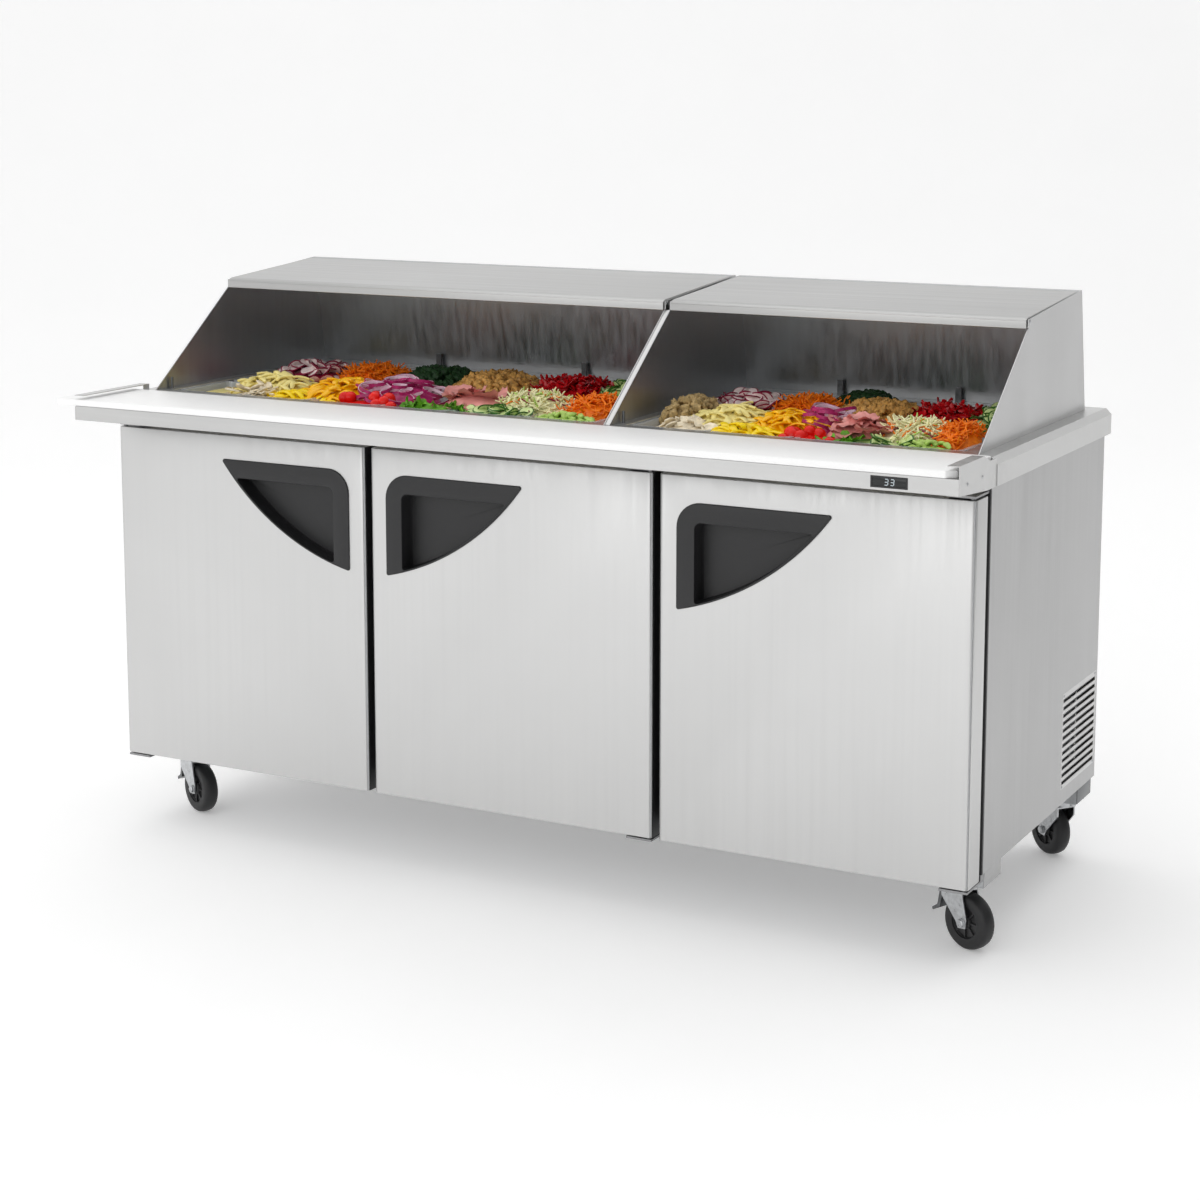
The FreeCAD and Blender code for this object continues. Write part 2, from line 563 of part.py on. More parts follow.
def pan(tag, x, y):
    """One pan: a rim, a deep body and its inside."""
    rim_plate = block(f"pan_rim_{tag}", inside(x, "pan_width", "0"), inside(y, "pan_depth", "0"),
                      (f"{DECK} - rim", DECK))
    body = block(f"pan_body_{tag}", inside(x, "pan_width", "pan_body_inset"),
                 inside(y, "pan_depth", "pan_body_inset"), (f"{DECK} - pan_deep", DECK))
    wall = "(pan_body_inset + pan_wall)"
    space = block(f"pan_space_{tag}", inside(x, "pan_width", wall), inside(y, "pan_depth", wall),
                  (f"{DECK} - pan_deep + pan_wall", f"{DECK} + 1"))
    return cut(f"pan_{tag}", joined(f"pan_solid_{tag}", [rim_plate, body]), [space])


def heap(tag, x, y):
    """The food in one pan: its body, and a narrower crown that stands above the rim."""
    body_inset = "(pan_body_inset + pan_wall + 2)"
    body = block(f"heap_body_{tag}", inside(x, "pan_width", body_inset),
                 inside(y, "pan_depth", body_inset), (f"{DECK} - pan_deep + pan_wall",
                                                      f"{DECK} - heap_drop"))
    crown_inset = "(pan_body_inset + 18)"
    crown = block(f"heap_crown_{tag}", inside(x, "pan_width", crown_inset),
                  inside(y, "pan_depth", crown_inset), (f"{DECK} - heap_drop - 1",
                                                        f"{DECK} + heap_rise"))
    return joined(f"heap_{tag}", [body, crown])


def well_collars():
    """Thin collars lining the wells, and the bars that the pans' rims rest on."""
    collars = []
    bars = []
    for i, (low, high) in enumerate(WELLS):
        outer = block(f"collar_{i}_outer", (f"{low} + sheet", f"{high} - sheet"),
                      ("well_front + sheet", "well_back - sheet"),
                      ("store_top + 20", f"{DECK} - rim - bar_height"))
        inner = block(f"collar_{i}_inner", (f"{low} + 2*sheet", f"{high} - 2*sheet"),
                      ("well_front + 2*sheet", "well_back - 2*sheet"), ("store_top + 19", DECK))
        collars.append(cut(f"collar_{i}", outer, [inner]))
        for bar in range(4):
            y = f"well_front + {bar}*pan_pitch_y"
            y_span = (f"{y} - 8", f"{y} + 8")
            if bar == 0:
                y_span = ("well_front + 2*sheet", "well_front + 9")
            if bar == 3:
                y_span = ("well_back - 9", "well_back - 2*sheet")
            bars.append(block(f"bar_{i}_{bar}", (f"{low} + 2*sheet", f"{high} - 2*sheet"),
                              y_span, (f"{DECK} - rim - bar_height", f"{DECK} - rim")))
    part(grouped("collars", collars), "pan_well")
    part(grouped("bars", bars), "adapter_bars")


# ---------------------------------------------------------------- storage fittings
SHELVES = [("-845", "-300"), ("-268", "268"), ("300", "845")]
CROSS_WIRES = 18


def shelves():
    """A wire shelf in each bay, its four posts and the clips that hold it."""
    wires = []
    posts = []
    for i, (low, high) in enumerate(SHELVES):
        rails = [block(f"shelf_{i}_rail_{j}", (low, high), (f"{y} - shelf_wire", f"{y} + shelf_wire"),
                       ("shelf_level - 2*shelf_wire", "shelf_level"))
                 for j, y in enumerate(("shelf_front_y", "shelf_back_y"))]
        cross = []
        for j in range(CROSS_WIRES):
            x = f"{low} + 8 + (({high}) - ({low}) - 20)*{j}/{CROSS_WIRES - 1}"
            cross.append(block(f"shelf_{i}_wire_{j}", (x, f"{x} + shelf_wire"),
                               ("shelf_front_y", "shelf_back_y"), ("shelf_level - 2", "shelf_level + 2")))
        wires.append(joined(f"shelf_{i}", rails + cross))
        corners = [(x, inward, y) for x, inward in ((f"({low} - 8)", 1), (f"({high} + 8)", -1))
                   for y in ("shelf_front_y", "shelf_back_y")]
        for j, (x, inward, y) in enumerate(corners):
            post = block(f"post_{i}_{j}", (f"{x} - 4", f"{x} + 4"), (f"{y} - 9", f"{y} + 9"),
                         ("store_bottom + sheet", "store_top - sheet"))
            reach = (x, f"{x} + 14") if inward > 0 else (f"{x} - 14", x)
            clip = block(f"shelf_clip_{i}_{j}", reach, (f"{y} - 6", f"{y} + 6"),
                         ("shelf_level - 14", "shelf_level - 2*shelf_wire"))
            posts.append(joined(f"support_{i}_{j}", [post, clip]))
    part(grouped("shelf_group", wires), "wire_shelves")
    part(grouped("support_group", posts), "shelf_supports")


# ---------------------------------------------------------------- refrigeration
COIL_TUBES = 6
EVAPORATOR_FINS = 38
CONDENSER_FINS = 34
FAN_BLADES = 4
BLADE_PITCH = 24


def fan_rotor(label, centre, radius, turn_about_x):
    """An axial fan with a bored hub, turning about Y; the hub's end is given."""
    hub = doc.addObject("Part::Cylinder", label + "_hub")
    bound(hub, "Radius", "4*shaft_radius")
    bound(hub, "Height", "hub_length")
    bore = doc.addObject("Part::Cylinder", label + "_bore")
    bound(bore, "Radius", "shaft_radius + pin_clearance")
    bound(bore, "Height", "hub_length + 2")
    bound(bore, "Placement.Base.z", "-1")
    blades = []
    for i in range(FAN_BLADES):
        blade = doc.addObject("Part::Box", f"{label}_blade_{i}")
        bound(blade, "Length", f"{radius} - blade_root")
        bound(blade, "Width", "blade_width")
        bound(blade, "Height", "sheet")
        turn = Rotation(Vector(0, 0, 1), 360 / FAN_BLADES * i)
        pitch = Rotation(Vector(1, 0, 0), BLADE_PITCH)
        root = Vector(value("blade_root"), -15.5, 4)
        blade.Placement = Placement(turn.multVec(root), turn.multiply(pitch))
        blades.append(blade)
    rotor = cut(label + "_rotor", joined(label + "_solid", [hub] + blades), [bore])
    rotor.Placement = Placement(Vector(), Rotation(Vector(1, 0, 0), turn_about_x))
    for letter, formula in zip("xyz", centre):
        shift = f" + {CENTRE_X}" if letter == "x" else ""
        bound(rotor, f"Placement.Base.{letter}", f"({formula}){shift}")
    return part(rotor, label)


def finned_coil(name, left, fins, y_span, z_span, tube_y, tube_low, tube_pitch):
    """A stack of thin fins with a row of tubes through it."""
    plates = [block(f"{name}_fin_{i}", (f"{left} + fin_pitch*{i}", f"{left} + fin_pitch*{i} + fin"),
                    y_span, z_span) for i in range(fins)]
    tubes = [rod(f"{name}_tube_{i}", "x", (f"{left} - tube_end", tube_y, f"{tube_low} + {tube_pitch}*{i}"),
                 "tube_radius", f"fin_pitch*{fins} + tube_end") for i in range(COIL_TUBES)]
    return joined(name, plates + tubes)


def evaporator():
    """The coil behind its cover in the storage space, with a mouth for the blower."""
    low, high = "evaporator_left", "evaporator_right"
    shell = block("evap_outer", (low, high), ("evaporator_front", "evaporator_back"),
                  ("evaporator_low", "evaporator_high"))
    hollow = block("evap_inner", (f"{low} + 2", f"{high} - 2"),
                   ("evaporator_front + 2", "evaporator_back + 1"),
                   ("evaporator_low + 2", "evaporator_high + 1"))
    mouth = rod("evap_mouth", "y", ("blower_x", "evaporator_front - 1", "blower_z"),
                "blower_radius + 6", "4")
    part(cut("evap_cover", shell, [hollow, mouth, suction_hole("cover_line")]), "evaporator_cover")
    coil = finned_coil("evap_coil", f"{low} + 22", EVAPORATOR_FINS,
                       ("evaporator_back - 60", "evaporator_back - 4"),
                       ("evaporator_low + 12", "evaporator_high - 10"), "suction_y",
                       "evaporator_low + first_tube", "evaporator_tube_pitch")
    part(coil, "evaporator_coil")
    fan_rotor("evaporator_blade", ("blower_x", "blower_hub_y", "blower_z"), "blower_radius", 90)


def condensing_unit():
    """Condenser, its fan, and the compressor, on the compartment's floor."""
    coil = finned_coil("cond_coil", "condenser_left", CONDENSER_FINS,
                       ("condenser_tube_y - 17", "condenser_tube_y + 18"),
                       ("condenser_low", "condenser_high"), "condenser_tube_y", "condenser_low + 18",
                       "condenser_tube_pitch")
    part(coil, "condenser_coil")
    fan_rotor("condenser_blade", ("cooler_x", "cooler_hub_y", "cooler_z"), "cooler_radius", -90)
    x, y = "compressor_x", "compressor_y"
    foot = block("compressor_foot", (f"{x} - 80", f"{x} + 80"), (f"{y} - 75", f"{y} + 75"),
                 ("cabinet_bottom + sheet", "compressor_base"))
    can = rod("compressor_can", "z", (x, y, "compressor_base"), "compressor_radius",
              "compressor_high - compressor_base")
    cap = doc.addObject("Part::Cone", "compressor_cap")
    bound(cap, "Radius1", "compressor_radius")
    bound(cap, "Radius2", "compressor_radius - dome_draw")
    bound(cap, "Height", "cap_high - compressor_high")
    bound(cap, "Placement.Base.x", f"{x} + {CENTRE_X}")
    bound(cap, "Placement.Base.y", y)
    bound(cap, "Placement.Base.z", "compressor_high")
    terminals = block("compressor_terminals", (f"{x} - 72", f"{x} - 48"), (f"{y} - 25", f"{y} + 25"),
                      ("compressor_base + 22", "compressor_base + 82"))
    part(joined("compressor_solid", [foot, can, cap, terminals]), "compressor")


def motors():
    """The two fan motors with their shafts and stays."""
    blower = joined("evap_motor", [
        rod("evap_motor_can", "y", ("blower_x", "blower_hub_y + 8", "blower_z"), "motor_radius",
            "blower_motor_length"),
        rod("evap_shaft", "y", ("blower_x", "blower_hub_y - 24", "blower_z"), "shaft_radius", "33"),
        block("evap_stay", ("blower_x - 110", "blower_x + 110"),
              ("blower_hub_y + 48", "evaporator_back - 60"), ("blower_z - 12", "blower_z + 12"))])
    cooler = joined("cond_motor", [
        rod("cond_motor_can", "y", ("cooler_x", "cooler_hub_y - 46", "cooler_z"), "motor_radius + 3",
            "blower_motor_length + 2"),
        rod("cond_shaft", "y", ("cooler_x", "cooler_hub_y - 4", "cooler_z"), "shaft_radius", "28"),
        block("cond_stay", ("cooler_x - 12", "cooler_x + 12"), ("cooler_hub_y - 46", "cooler_hub_y - 40"),
              ("cabinet_bottom + sheet", "cooler_z - 20"))])
    part(grouped("motor_pair", [blower, cooler]), "fan_motors")


def refrigerant_lines():
    """The suction line straight up to the evaporator, and the liquid line to the condenser."""
    suction = rod("suction_line", "z", ("suction_x", "suction_y", "cap_high"), "line_radius",
                  "evaporator_low + first_tube - tube_radius - cap_high")
    liquid = [rod("liquid_up", "z", ("liquid_x", "liquid_y", "cap_high"), "line_radius",
                  "liquid_z - cap_high"),
              rod("liquid_back", "y", ("liquid_x", "liquid_y", "liquid_z"), "line_radius",
                  "condenser_tube_y - liquid_y"),
              rod("liquid_over", "x", ("liquid_x", "condenser_tube_y", "liquid_z"), "line_radius",
                  "condenser_left - tube_end - liquid_x")]
    for i, y in enumerate(("liquid_y", "condenser_tube_y")):
        bend = doc.addObject("Part::Sphere", f"liquid_bend_{i}")
        bound(bend, "Radius", "line_radius")
        bound(bend, "Placement.Base.x", f"liquid_x + {CENTRE_X}")
        bound(bend, "Placement.Base.y", y)
        bound(bend, "Placement.Base.z", "liquid_z")
        liquid.append(bend)
    part(grouped("line_pair", [suction, joined("liquid_line", liquid)]), "refrigerant_lines")


def electrics():
    """The control box in the machine compartment, and the gland where mains enters."""
    part(block("control", ("control_x", "control_x + control_deep"), ("control_y", "control_y + 155"),
               ("control_z", "control_z + 140")), "control_box")
    flange = rod("gland_flange", "y", (GLAND_X, f"{BACK} - sheet - 4", GLAND_Z), "gland_radius + 5",
                 "4")
    barrel = rod("gland_barrel", "y", (GLAND_X, f"{BACK} - gland_length", GLAND_Z), "gland_radius",
                 "gland_length")
    bore = rod("gland_bore", "y", (GLAND_X, f"{BACK} - gland_length - 1", GLAND_Z), "gland_bore",
               "gland_length + 2")
    part(cut("gland", joined("gland_solid", [flange, barrel]), [bore]), "power_inlet")


# ---------------------------------------------------------------- doors
# name, low X, high X, side of the hinge (-1 left, 1 right)
DOORS = [("left", f"-{HALF}", "-gap_centre - door_gap/2", -1),
         ("middle", "-gap_centre + door_gap/2", "gap_centre - door_gap/2", 1),
         ("right", "gap_centre + door_gap/2", HALF, 1)]
PIVOT_Y = f"({DOOR_FRONT} + pivot_depth)"


def pivot_x(low, high, hinge):
    return f"({low} + pivot_inset)" if hinge < 0 else f"({high} - pivot_inset)"


def sail_pad(name, kind, hinge, low, high, y_span):
    """A sail outline padded between two y levels: a straight top and side that meet in a
    round corner, and a long bowed edge from the tip down to the foot."""
    width, height, corner, bow = (value(f"{kind}_{size}") for size in
                                  ("width", "height", "corner", "bow"))
    body = doc.addObject("PartDesign::Body", name)
    sketch = body.newObject("Sketcher::SketchObject", name + "_outline")
    base = next(f for f in body.Origin.OriginFeatures if f.Role == "XZ_Plane")
    sketch.AttachmentSupport = [(base, "")]
    sketch.MapMode = "FlatFace"
    bound(sketch, "AttachmentOffset.Base.z", f"-({y_span[0]})")

    tip = Vector(hinge * width, 0, 0)
    foot = Vector(0, -height, 0)
    top = Vector(hinge * corner, 0, 0)
    shoulder = Vector(0, -corner, 0)
    half_chord = (tip - foot).Length / 2
    inward = Vector(-hinge * height, width, 0).normalize()
    bow_centre = (tip + foot) * 0.5 + inward * math.sqrt(bow ** 2 - half_chord ** 2)
    sketch.addGeometry(Part.LineSegment(tip, top))
    sketch.addGeometry(arc(Vector(hinge * corner, -corner, 0), corner, top, shoulder, hinge))
    sketch.addGeometry(Part.LineSegment(shoulder, foot))
    sketch.addGeometry(arc(bow_centre, bow, foot, tip, hinge))

    first, last = (1, 2) if hinge > 0 else (2, 1)
    for one, one_end, other, other_end in ((0, 2, 1, first), (1, last, 2, 1),
                                           (2, 2, 3, first), (3, last, 0, 1)):
        sketch.addConstraint(Sketcher.Constraint("Coincident", one, one_end, other, other_end))
    for line, end, axis in ((0, 1, -1), (0, 2, -1), (2, 1, -2), (2, 2, -2)):
        sketch.addConstraint(Sketcher.Constraint("PointOnObject", line, end, axis))
    sizes = [("tip_x", "DistanceX", 0, 1, tip.x, f"{hinge}*{kind}_width"),
             ("top_x", "DistanceX", 0, 2, top.x, f"{hinge}*{kind}_corner"),
             ("shoulder_y", "DistanceY", 2, 1, shoulder.y, f"-{kind}_corner"),
             ("foot_y", "DistanceY", 2, 2, foot.y, f"-{kind}_height")]
    for label, constraint, line, end, start, formula in sizes:
        index = sketch.addConstraint(Sketcher.Constraint(constraint, -1, 1, line, end, start))
        sketch.renameConstraint(index, label)
        bound(sketch, f"Constraints.{label}", formula)
    for label, edge, start in (("corner", 1, corner), ("bow", 3, bow)):
        index = sketch.addConstraint(Sketcher.Constraint("Radius", edge, start))
        sketch.renameConstraint(index, label)
        bound(sketch, f"Constraints.{label}", f"{kind}_{label}")

    pad = body.newObject("PartDesign::Pad", name + "_pad")
    pad.Profile = sketch
    pad.Reversed = True
    bound(pad, "Length", f"({y_span[1]}) - ({y_span[0]})")
    if hinge > 0:
        edge_x = f"{low} + handle_edge + {kind}_border"
    else:
        edge_x = f"{high} - handle_edge - {kind}_border"
    bound(body, "Placement.Base.x", f"{edge_x} + {CENTRE_X}")
    bound(body, "Placement.Base.z", f"door_top - handle_drop - {kind}_border")
    return body


def arc(centre, radius, start, end, hinge):
    """An arc of the sail, which runs the other way round in a mirrored handle."""
    angles = [math.atan2(p.y - centre.y, p.x - centre.x) for p in (start, end)]
    if hinge < 0:
        angles.reverse()
    circle = Part.Circle(centre, Vector(0, 0, 1), radius)
    return Part.ArcOfCircle(circle, *angles)


def door_block(name, low, high, inset, y_back, z_span):
    """The door's plan, with rounded front edges, drawn in by an inset."""
    left = f"({low} + {inset})"
    right = f"({high} - {inset})"
    front = f"({DOOR_FRONT} + {inset})"
    soft = "door_round*0.3"
    return extruded(name, "z", [
        (left, y_back), (left, f"{front} + door_round"), (f"{left} + {soft}", f"{front} + {soft}"),
        (f"{left} + door_round", front), (f"{right} - door_round", front),
        (f"{right} - {soft}", f"{front} + {soft}"), (right, f"{front} + door_round"),
        (right, y_back)], z_span)


def door(name, low, high, hinge):
    """One door: a folded skin, an insulated core, a gasket and a recessed handle."""
    cup_y = (f"{DOOR_FRONT} - 1", f"{DOOR_FRONT} + cup_deep")
    inner_z = ("door_bottom + sheet", "door_top - sheet")

    def bore(tag):
        return rod(f"door_{name}_{tag}_bore", "z",
                   (pivot_x(low, high, hinge), PIVOT_Y, "door_bottom - 1"),
                   "pin_radius + pin_clearance", "door_top - door_bottom + 2")

    def handle_hole(tag):
        return sail_pad(f"door_{name}_{tag}_hole", "cup", hinge, low, high, cup_y)

    outer = door_block(f"door_{name}_outer", low, high, "0", DOOR_BACK, ("door_bottom", "door_top"))
    inner = door_block(f"door_{name}_inner", low, high, "sheet", f"{DOOR_BACK} + 1", inner_z)
    part(cut(f"door_{name}_skin_cut", outer, [inner, handle_hole("skin"), bore("skin")]),
         f"door_{name}_skin")
    core = door_block(f"door_{name}_core_block", low, high, "sheet", DOOR_BACK, inner_z)
    part(cut(f"door_{name}_core_cut", core, [handle_hole("core"), bore("core")]),
         f"door_{name}_core")

    def around(inset, axis):
        if axis == "x":
            return f"{low} + {inset}", f"{high} - {inset}"
        return f"door_bottom + {inset} + 8", f"door_top - {inset}"

    outer_inset = "gasket_inset"
    inner_inset = "(gasket_inset + gasket_width)"
    ring = block(f"gasket_{name}_outer", around(outer_inset, "x"),
                 (DOOR_BACK, f"{CABINET_FRONT} - gasket_gap"), around(outer_inset, "z"))
    hole = block(f"gasket_{name}_inner", around(inner_inset, "x"),
                 (f"{DOOR_BACK} - 1", CABINET_FRONT), around(inner_inset, "z"))
    part(cut(f"gasket_{name}", ring, [hole]), f"door_{name}_gasket")

    rim = sail_pad(f"handle_{name}_rim", "rim", hinge, low, high,
                   (f"{DOOR_FRONT} - rim_rise", DOOR_FRONT))
    cup = sail_pad(f"handle_{name}_cup", "cup", hinge, low, high, cup_y)
    space = sail_pad(f"handle_{name}_space", "hollow", hinge, low, high,
                     (f"{DOOR_FRONT} - rim_rise - 1", f"{DOOR_FRONT} + cup_deep - cup_floor"))
    part(cut(f"handle_{name}", joined(f"handle_{name}_solid", [rim, cup]), [space]),
         f"door_{name}_handle")


def hinge_brackets():
    """A bracket with a pivot pin above and below each door's hinge edge."""
    pieces = []
    for name, low, high, hinge in DOORS:
        x = pivot_x(low, high, hinge)
        reach = (f"{x} - 8", f"{x} + hinge_reach") if hinge < 0 else (f"{x} - hinge_reach", f"{x} + 8")
        top_z = "(door_top + hinge_gap)"
        top = [block(f"top_plate_{name}", reach, (f"{PIVOT_Y} - 9", CABINET_FRONT),
                     (top_z, f"{top_z} + hinge_plate")),
               block(f"top_leg_{name}", reach, (f"{CABINET_FRONT} - hinge_plate", CABINET_FRONT),
                     (top_z, BAND_BOTTOM)),
               rod(f"top_pin_{name}", "z", (x, PIVOT_Y, "door_top - 15"), "pin_radius",
                   "15 + hinge_gap + 1")]
        low_z = "(door_bottom - hinge_gap - hinge_plate)"
        bottom = [block(f"low_plate_{name}", reach, (f"{PIVOT_Y} - 9", f"{SKIN_FRONT} + 12"),
                        (low_z, f"{low_z} + hinge_plate")),
                  block(f"low_leg_{name}", reach, (CABINET_FRONT, f"{SKIN_FRONT} + 12"),
                        (low_z, "cabinet_bottom")),
                  rod(f"low_pin_{name}", "z", (x, PIVOT_Y, f"{low_z} + 1"), "pin_radius",
                      "hinge_plate + hinge_gap + 14")]
        pieces += [joined(f"top_hinge_{name}", top), joined(f"low_hinge_{name}", bottom)]
    part(grouped("hinges", pieces), "hinge_brackets")


# ---------------------------------------------------------------- casters
# name, swivel X, swivel Y, turn of the trail about the swivel axis, brake pedal
CASTERS = [("front_left", "-front_swivel_x", "front_swivel_y", "front_turn", True),
           ("front_right", "front_swivel_x", "front_swivel_y", "front_turn", True),
           ("rear_left", "-rear_swivel_x", "rear_swivel_y", "rear_turn", False),
           ("rear_right", "rear_swivel_x", "rear_swivel_y", "rear_turn", False)]
FORK_HALF = "(wheel_width/2 + 2)"


def placed(obj, label, x, y, turn):
    """Stand a caster piece under its plate and turn it about the swivel axis."""
    obj.Placement = Placement(Vector(), Rotation(Vector(0, 0, 1), 1))
    bound(obj, "Placement.Base.x", f"({x}) + {CENTRE_X}")
    bound(obj, "Placement.Base.y", y)
    bound(obj, "Placement.Rotation.Angle", turn)
    return part(obj, label)


def local_rod(name, axis, start, radius, length):
    """A cylinder in a caster's own frame, whose origin is on the floor under the swivel axis."""
    cylinder = doc.addObject("Part::Cylinder", name)
    cylinder.Placement = Placement(Vector(), TURNS[axis])
    bound(cylinder, "Radius", radius)
    bound(cylinder, "Height", length)
    for letter, formula in zip("xyz", start):
        bound(cylinder, f"Placement.Base.{letter}", formula)
    return cylinder


def across(name, radius, half, x, z):
    """A cylinder along the caster's axle, centred on the wheel."""
    return local_rod(name, "y", (x, f"-({half})", z), radius, f"2*({half})")


def local_pad(name, corners, low, high):
    """An outline of (x, z) corners in a caster's own frame, padded between two y levels."""
    body = doc.addObject("PartDesign::Body", name)
    sketch = outline(body, name + "_outline", "XZ_Plane", corners, f"-({low})")
    pad = body.newObject("PartDesign::Pad", name + "_pad")
    pad.Profile = sketch
    pad.Reversed = True
    bound(pad, "Length", f"({high}) - ({low})")
    return body


def leg(name, side):
    """One tapered side plate of the fork, from the crown down round the axle."""
    if side > 0:
        low, high = FORK_HALF, f"{FORK_HALF} + leg_thick"
    else:
        low, high = f"-{FORK_HALF} - leg_thick", f"-{FORK_HALF}"
    corners = [("-crown_half", "crown_level + leg_thick"), ("crown_half", "crown_level + leg_thick"),
               ("caster_trail + 11", "wheel_radius + 8"), ("caster_trail + 9", "wheel_radius - 9"),
               ("caster_trail - 9", "wheel_radius - 11"), ("caster_trail - 14", "wheel_radius"),
               ("-crown_half", "crown_level - 16")]
    return local_pad(name, corners, low, high)


def fork(name, x, y, turn, braked):
    """The turning fork: crown, swivel head, two legs, the axle bolt and the pedal's pin."""
    half = f"({FORK_HALF} + leg_thick)"
    crown = local_pad(f"crown_{name}", [
        ("-crown_half", "crown_level"), ("crown_half", "crown_level"),
        ("crown_half", "crown_level + leg_thick"), ("-crown_half", "crown_level + leg_thick")],
        f"-{half}", half)
    head = local_rod(f"swivel_head_{name}", "z", ("0", "0", "crown_level + 2"), "4*kingpin_radius",
                     "plate_top - plate_thick - crown_level - 3")
    pieces = [crown, head, leg(f"leg_{name}_a", -1), leg(f"leg_{name}_b", 1),
              across(f"axle_{name}", "axle_radius", f"{half} + 4", "caster_trail", "wheel_radius")]
    if braked:
        pieces.append(across(f"pedal_pin_{name}", "pedal_pin_radius", half, "pedal_pin_x",
                             "pedal_pin_z"))
    bore = local_rod(f"king_bore_{name}", "z", ("0", "0", "crown_level - 1"),
                     "kingpin_radius + pin_clearance", "plate_top - crown_level")
    solid = cut(f"fork_{name}", joined(f"fork_{name}_solid", pieces), [bore])
    placed(solid, f"caster_fork_{name}", x, y, turn)


def wheel(name, x, y, turn):
    """The wheel with its stepped tread and its bore."""
    tyre = across(f"tyre_{name}", "wheel_radius", "wheel_width/2 - 5", "caster_trail", "wheel_radius")
    shoulder = across(f"shoulder_{name}", "wheel_radius - 4", "wheel_width/2", "caster_trail",
                      "wheel_radius")
    bore = across(f"wheel_bore_{name}", "axle_radius + pin_clearance", "wheel_width",
                  "caster_trail", "wheel_radius")
    solid = cut(f"wheel_{name}", joined(f"wheel_{name}_solid", [tyre, shoulder]), [bore])
    placed(solid, f"caster_wheel_{name}", x, y, turn)


def pedal(name, x, y, turn):
    """The hooked brake pedal, hung on its pin between the fork's legs."""
    arm = local_pad(f"pedal_arm_{name}", [
        ("pedal_pin_x - 1", "pedal_pin_z + 6"), ("pedal_pin_x - 22", "pedal_pin_z - 5"),
        ("pedal_pin_x - 27", "pedal_pin_z - 31"), ("pedal_pin_x - 40", "pedal_pin_z - 40"),
        ("pedal_pin_x - 38", "pedal_pin_z - 45"), ("pedal_pin_x - 21", "pedal_pin_z - 36"),
        ("pedal_pin_x - 16", "pedal_pin_z - 11"), ("pedal_pin_x", "pedal_pin_z - 6")], "-13", "13")
    hub = across(f"pedal_hub_{name}", "2*pedal_pin_radius", f"{FORK_HALF} - 1", "pedal_pin_x",
                 "pedal_pin_z")
    bore = across(f"pedal_bore_{name}", "pedal_pin_radius + pin_clearance", FORK_HALF, "pedal_pin_x",
                  "pedal_pin_z")
    solid = cut(f"pedal_{name}", joined(f"pedal_{name}_solid", [arm, hub]), [bore])
    placed(solid, f"caster_pedal_{name}", x, y, turn)


def caster_plates():
    """Bolted top plates with the kingpins that the forks turn on."""
    plates = []
    low_face = "(plate_top - plate_thick)"
    for name, x, y, _turn, _braked in CASTERS:
        plate = block(f"plate_{name}", (f"{x} - 44", f"{x} + 44"), (f"{y} - 36", f"{y} + 36"),
                      (low_face, "plate_top"))
        bolts = [rod(f"bolt_{name}_{i}", "z", (f"{x} + {dx}", f"{y} + {dy}", f"{low_face} - 5"), "6", "6")
                 for i, (dx, dy) in enumerate(((-36, -28), (36, -28), (-36, 28), (36, 28)))]
        kingpin = rod(f"kingpin_{name}", "z", (x, y, "crown_level - 2"), "kingpin_radius",
                      "plate_top - crown_level")
        rivet = rod(f"kingpin_head_{name}", "z", (x, y, "crown_level - 3"), "kingpin_radius + 3", "2")
        plates.append(joined(f"plate_set_{name}", [plate, kingpin, rivet] + bolts))
    part(grouped("plates", plates), "caster_plates")


cabinet_shell()
foam()
liner()
front_frame()
louvres()
base_channels()
counter()
work_shelf()
display()
brackets()
screws()
cutting_board()
for hood_name, hood_low, hood_high in HOODS:
    hood(hood_name, hood_low, hood_high)
    lid(hood_name, hood_low, hood_high)
lid_pins()
hood_clips()
pans()
well_collars()
shelves()
evaporator()
condensing_unit()
motors()
refrigerant_lines()
electrics()
for door_name, door_low, door_high, hinge_side in DOORS:
    door(door_name, door_low, door_high, hinge_side)
hinge_brackets()
for caster_name, swivel_x, swivel_y, caster_turn, has_brake in CASTERS:
    fork(caster_name, swivel_x, swivel_y, caster_turn, has_brake)
    wheel(caster_name, swivel_x, swivel_y, caster_turn)
    if has_brake:
        pedal(caster_name, swivel_x, swivel_y, caster_turn)
caster_plates()

doc.recompute()
for obj in doc.Objects:
    if "Invalid" in obj.State or "Error" in obj.State:
        raise RuntimeError(f"{obj.Name} failed: {obj.State}")
os.makedirs("parts", exist_ok=True)
for obj in exports:
    shape = obj.Shape
    if shape.isNull() or not shape.isValid():
        raise RuntimeError(f"{obj.Label} has no valid shape")
    shape.exportStep(f"parts/{obj.Label}.step")
print(len(exports), "sub-parts written")
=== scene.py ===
import json
import math
import random

import bmesh
import bpy
from mathutils import Matrix, Vector


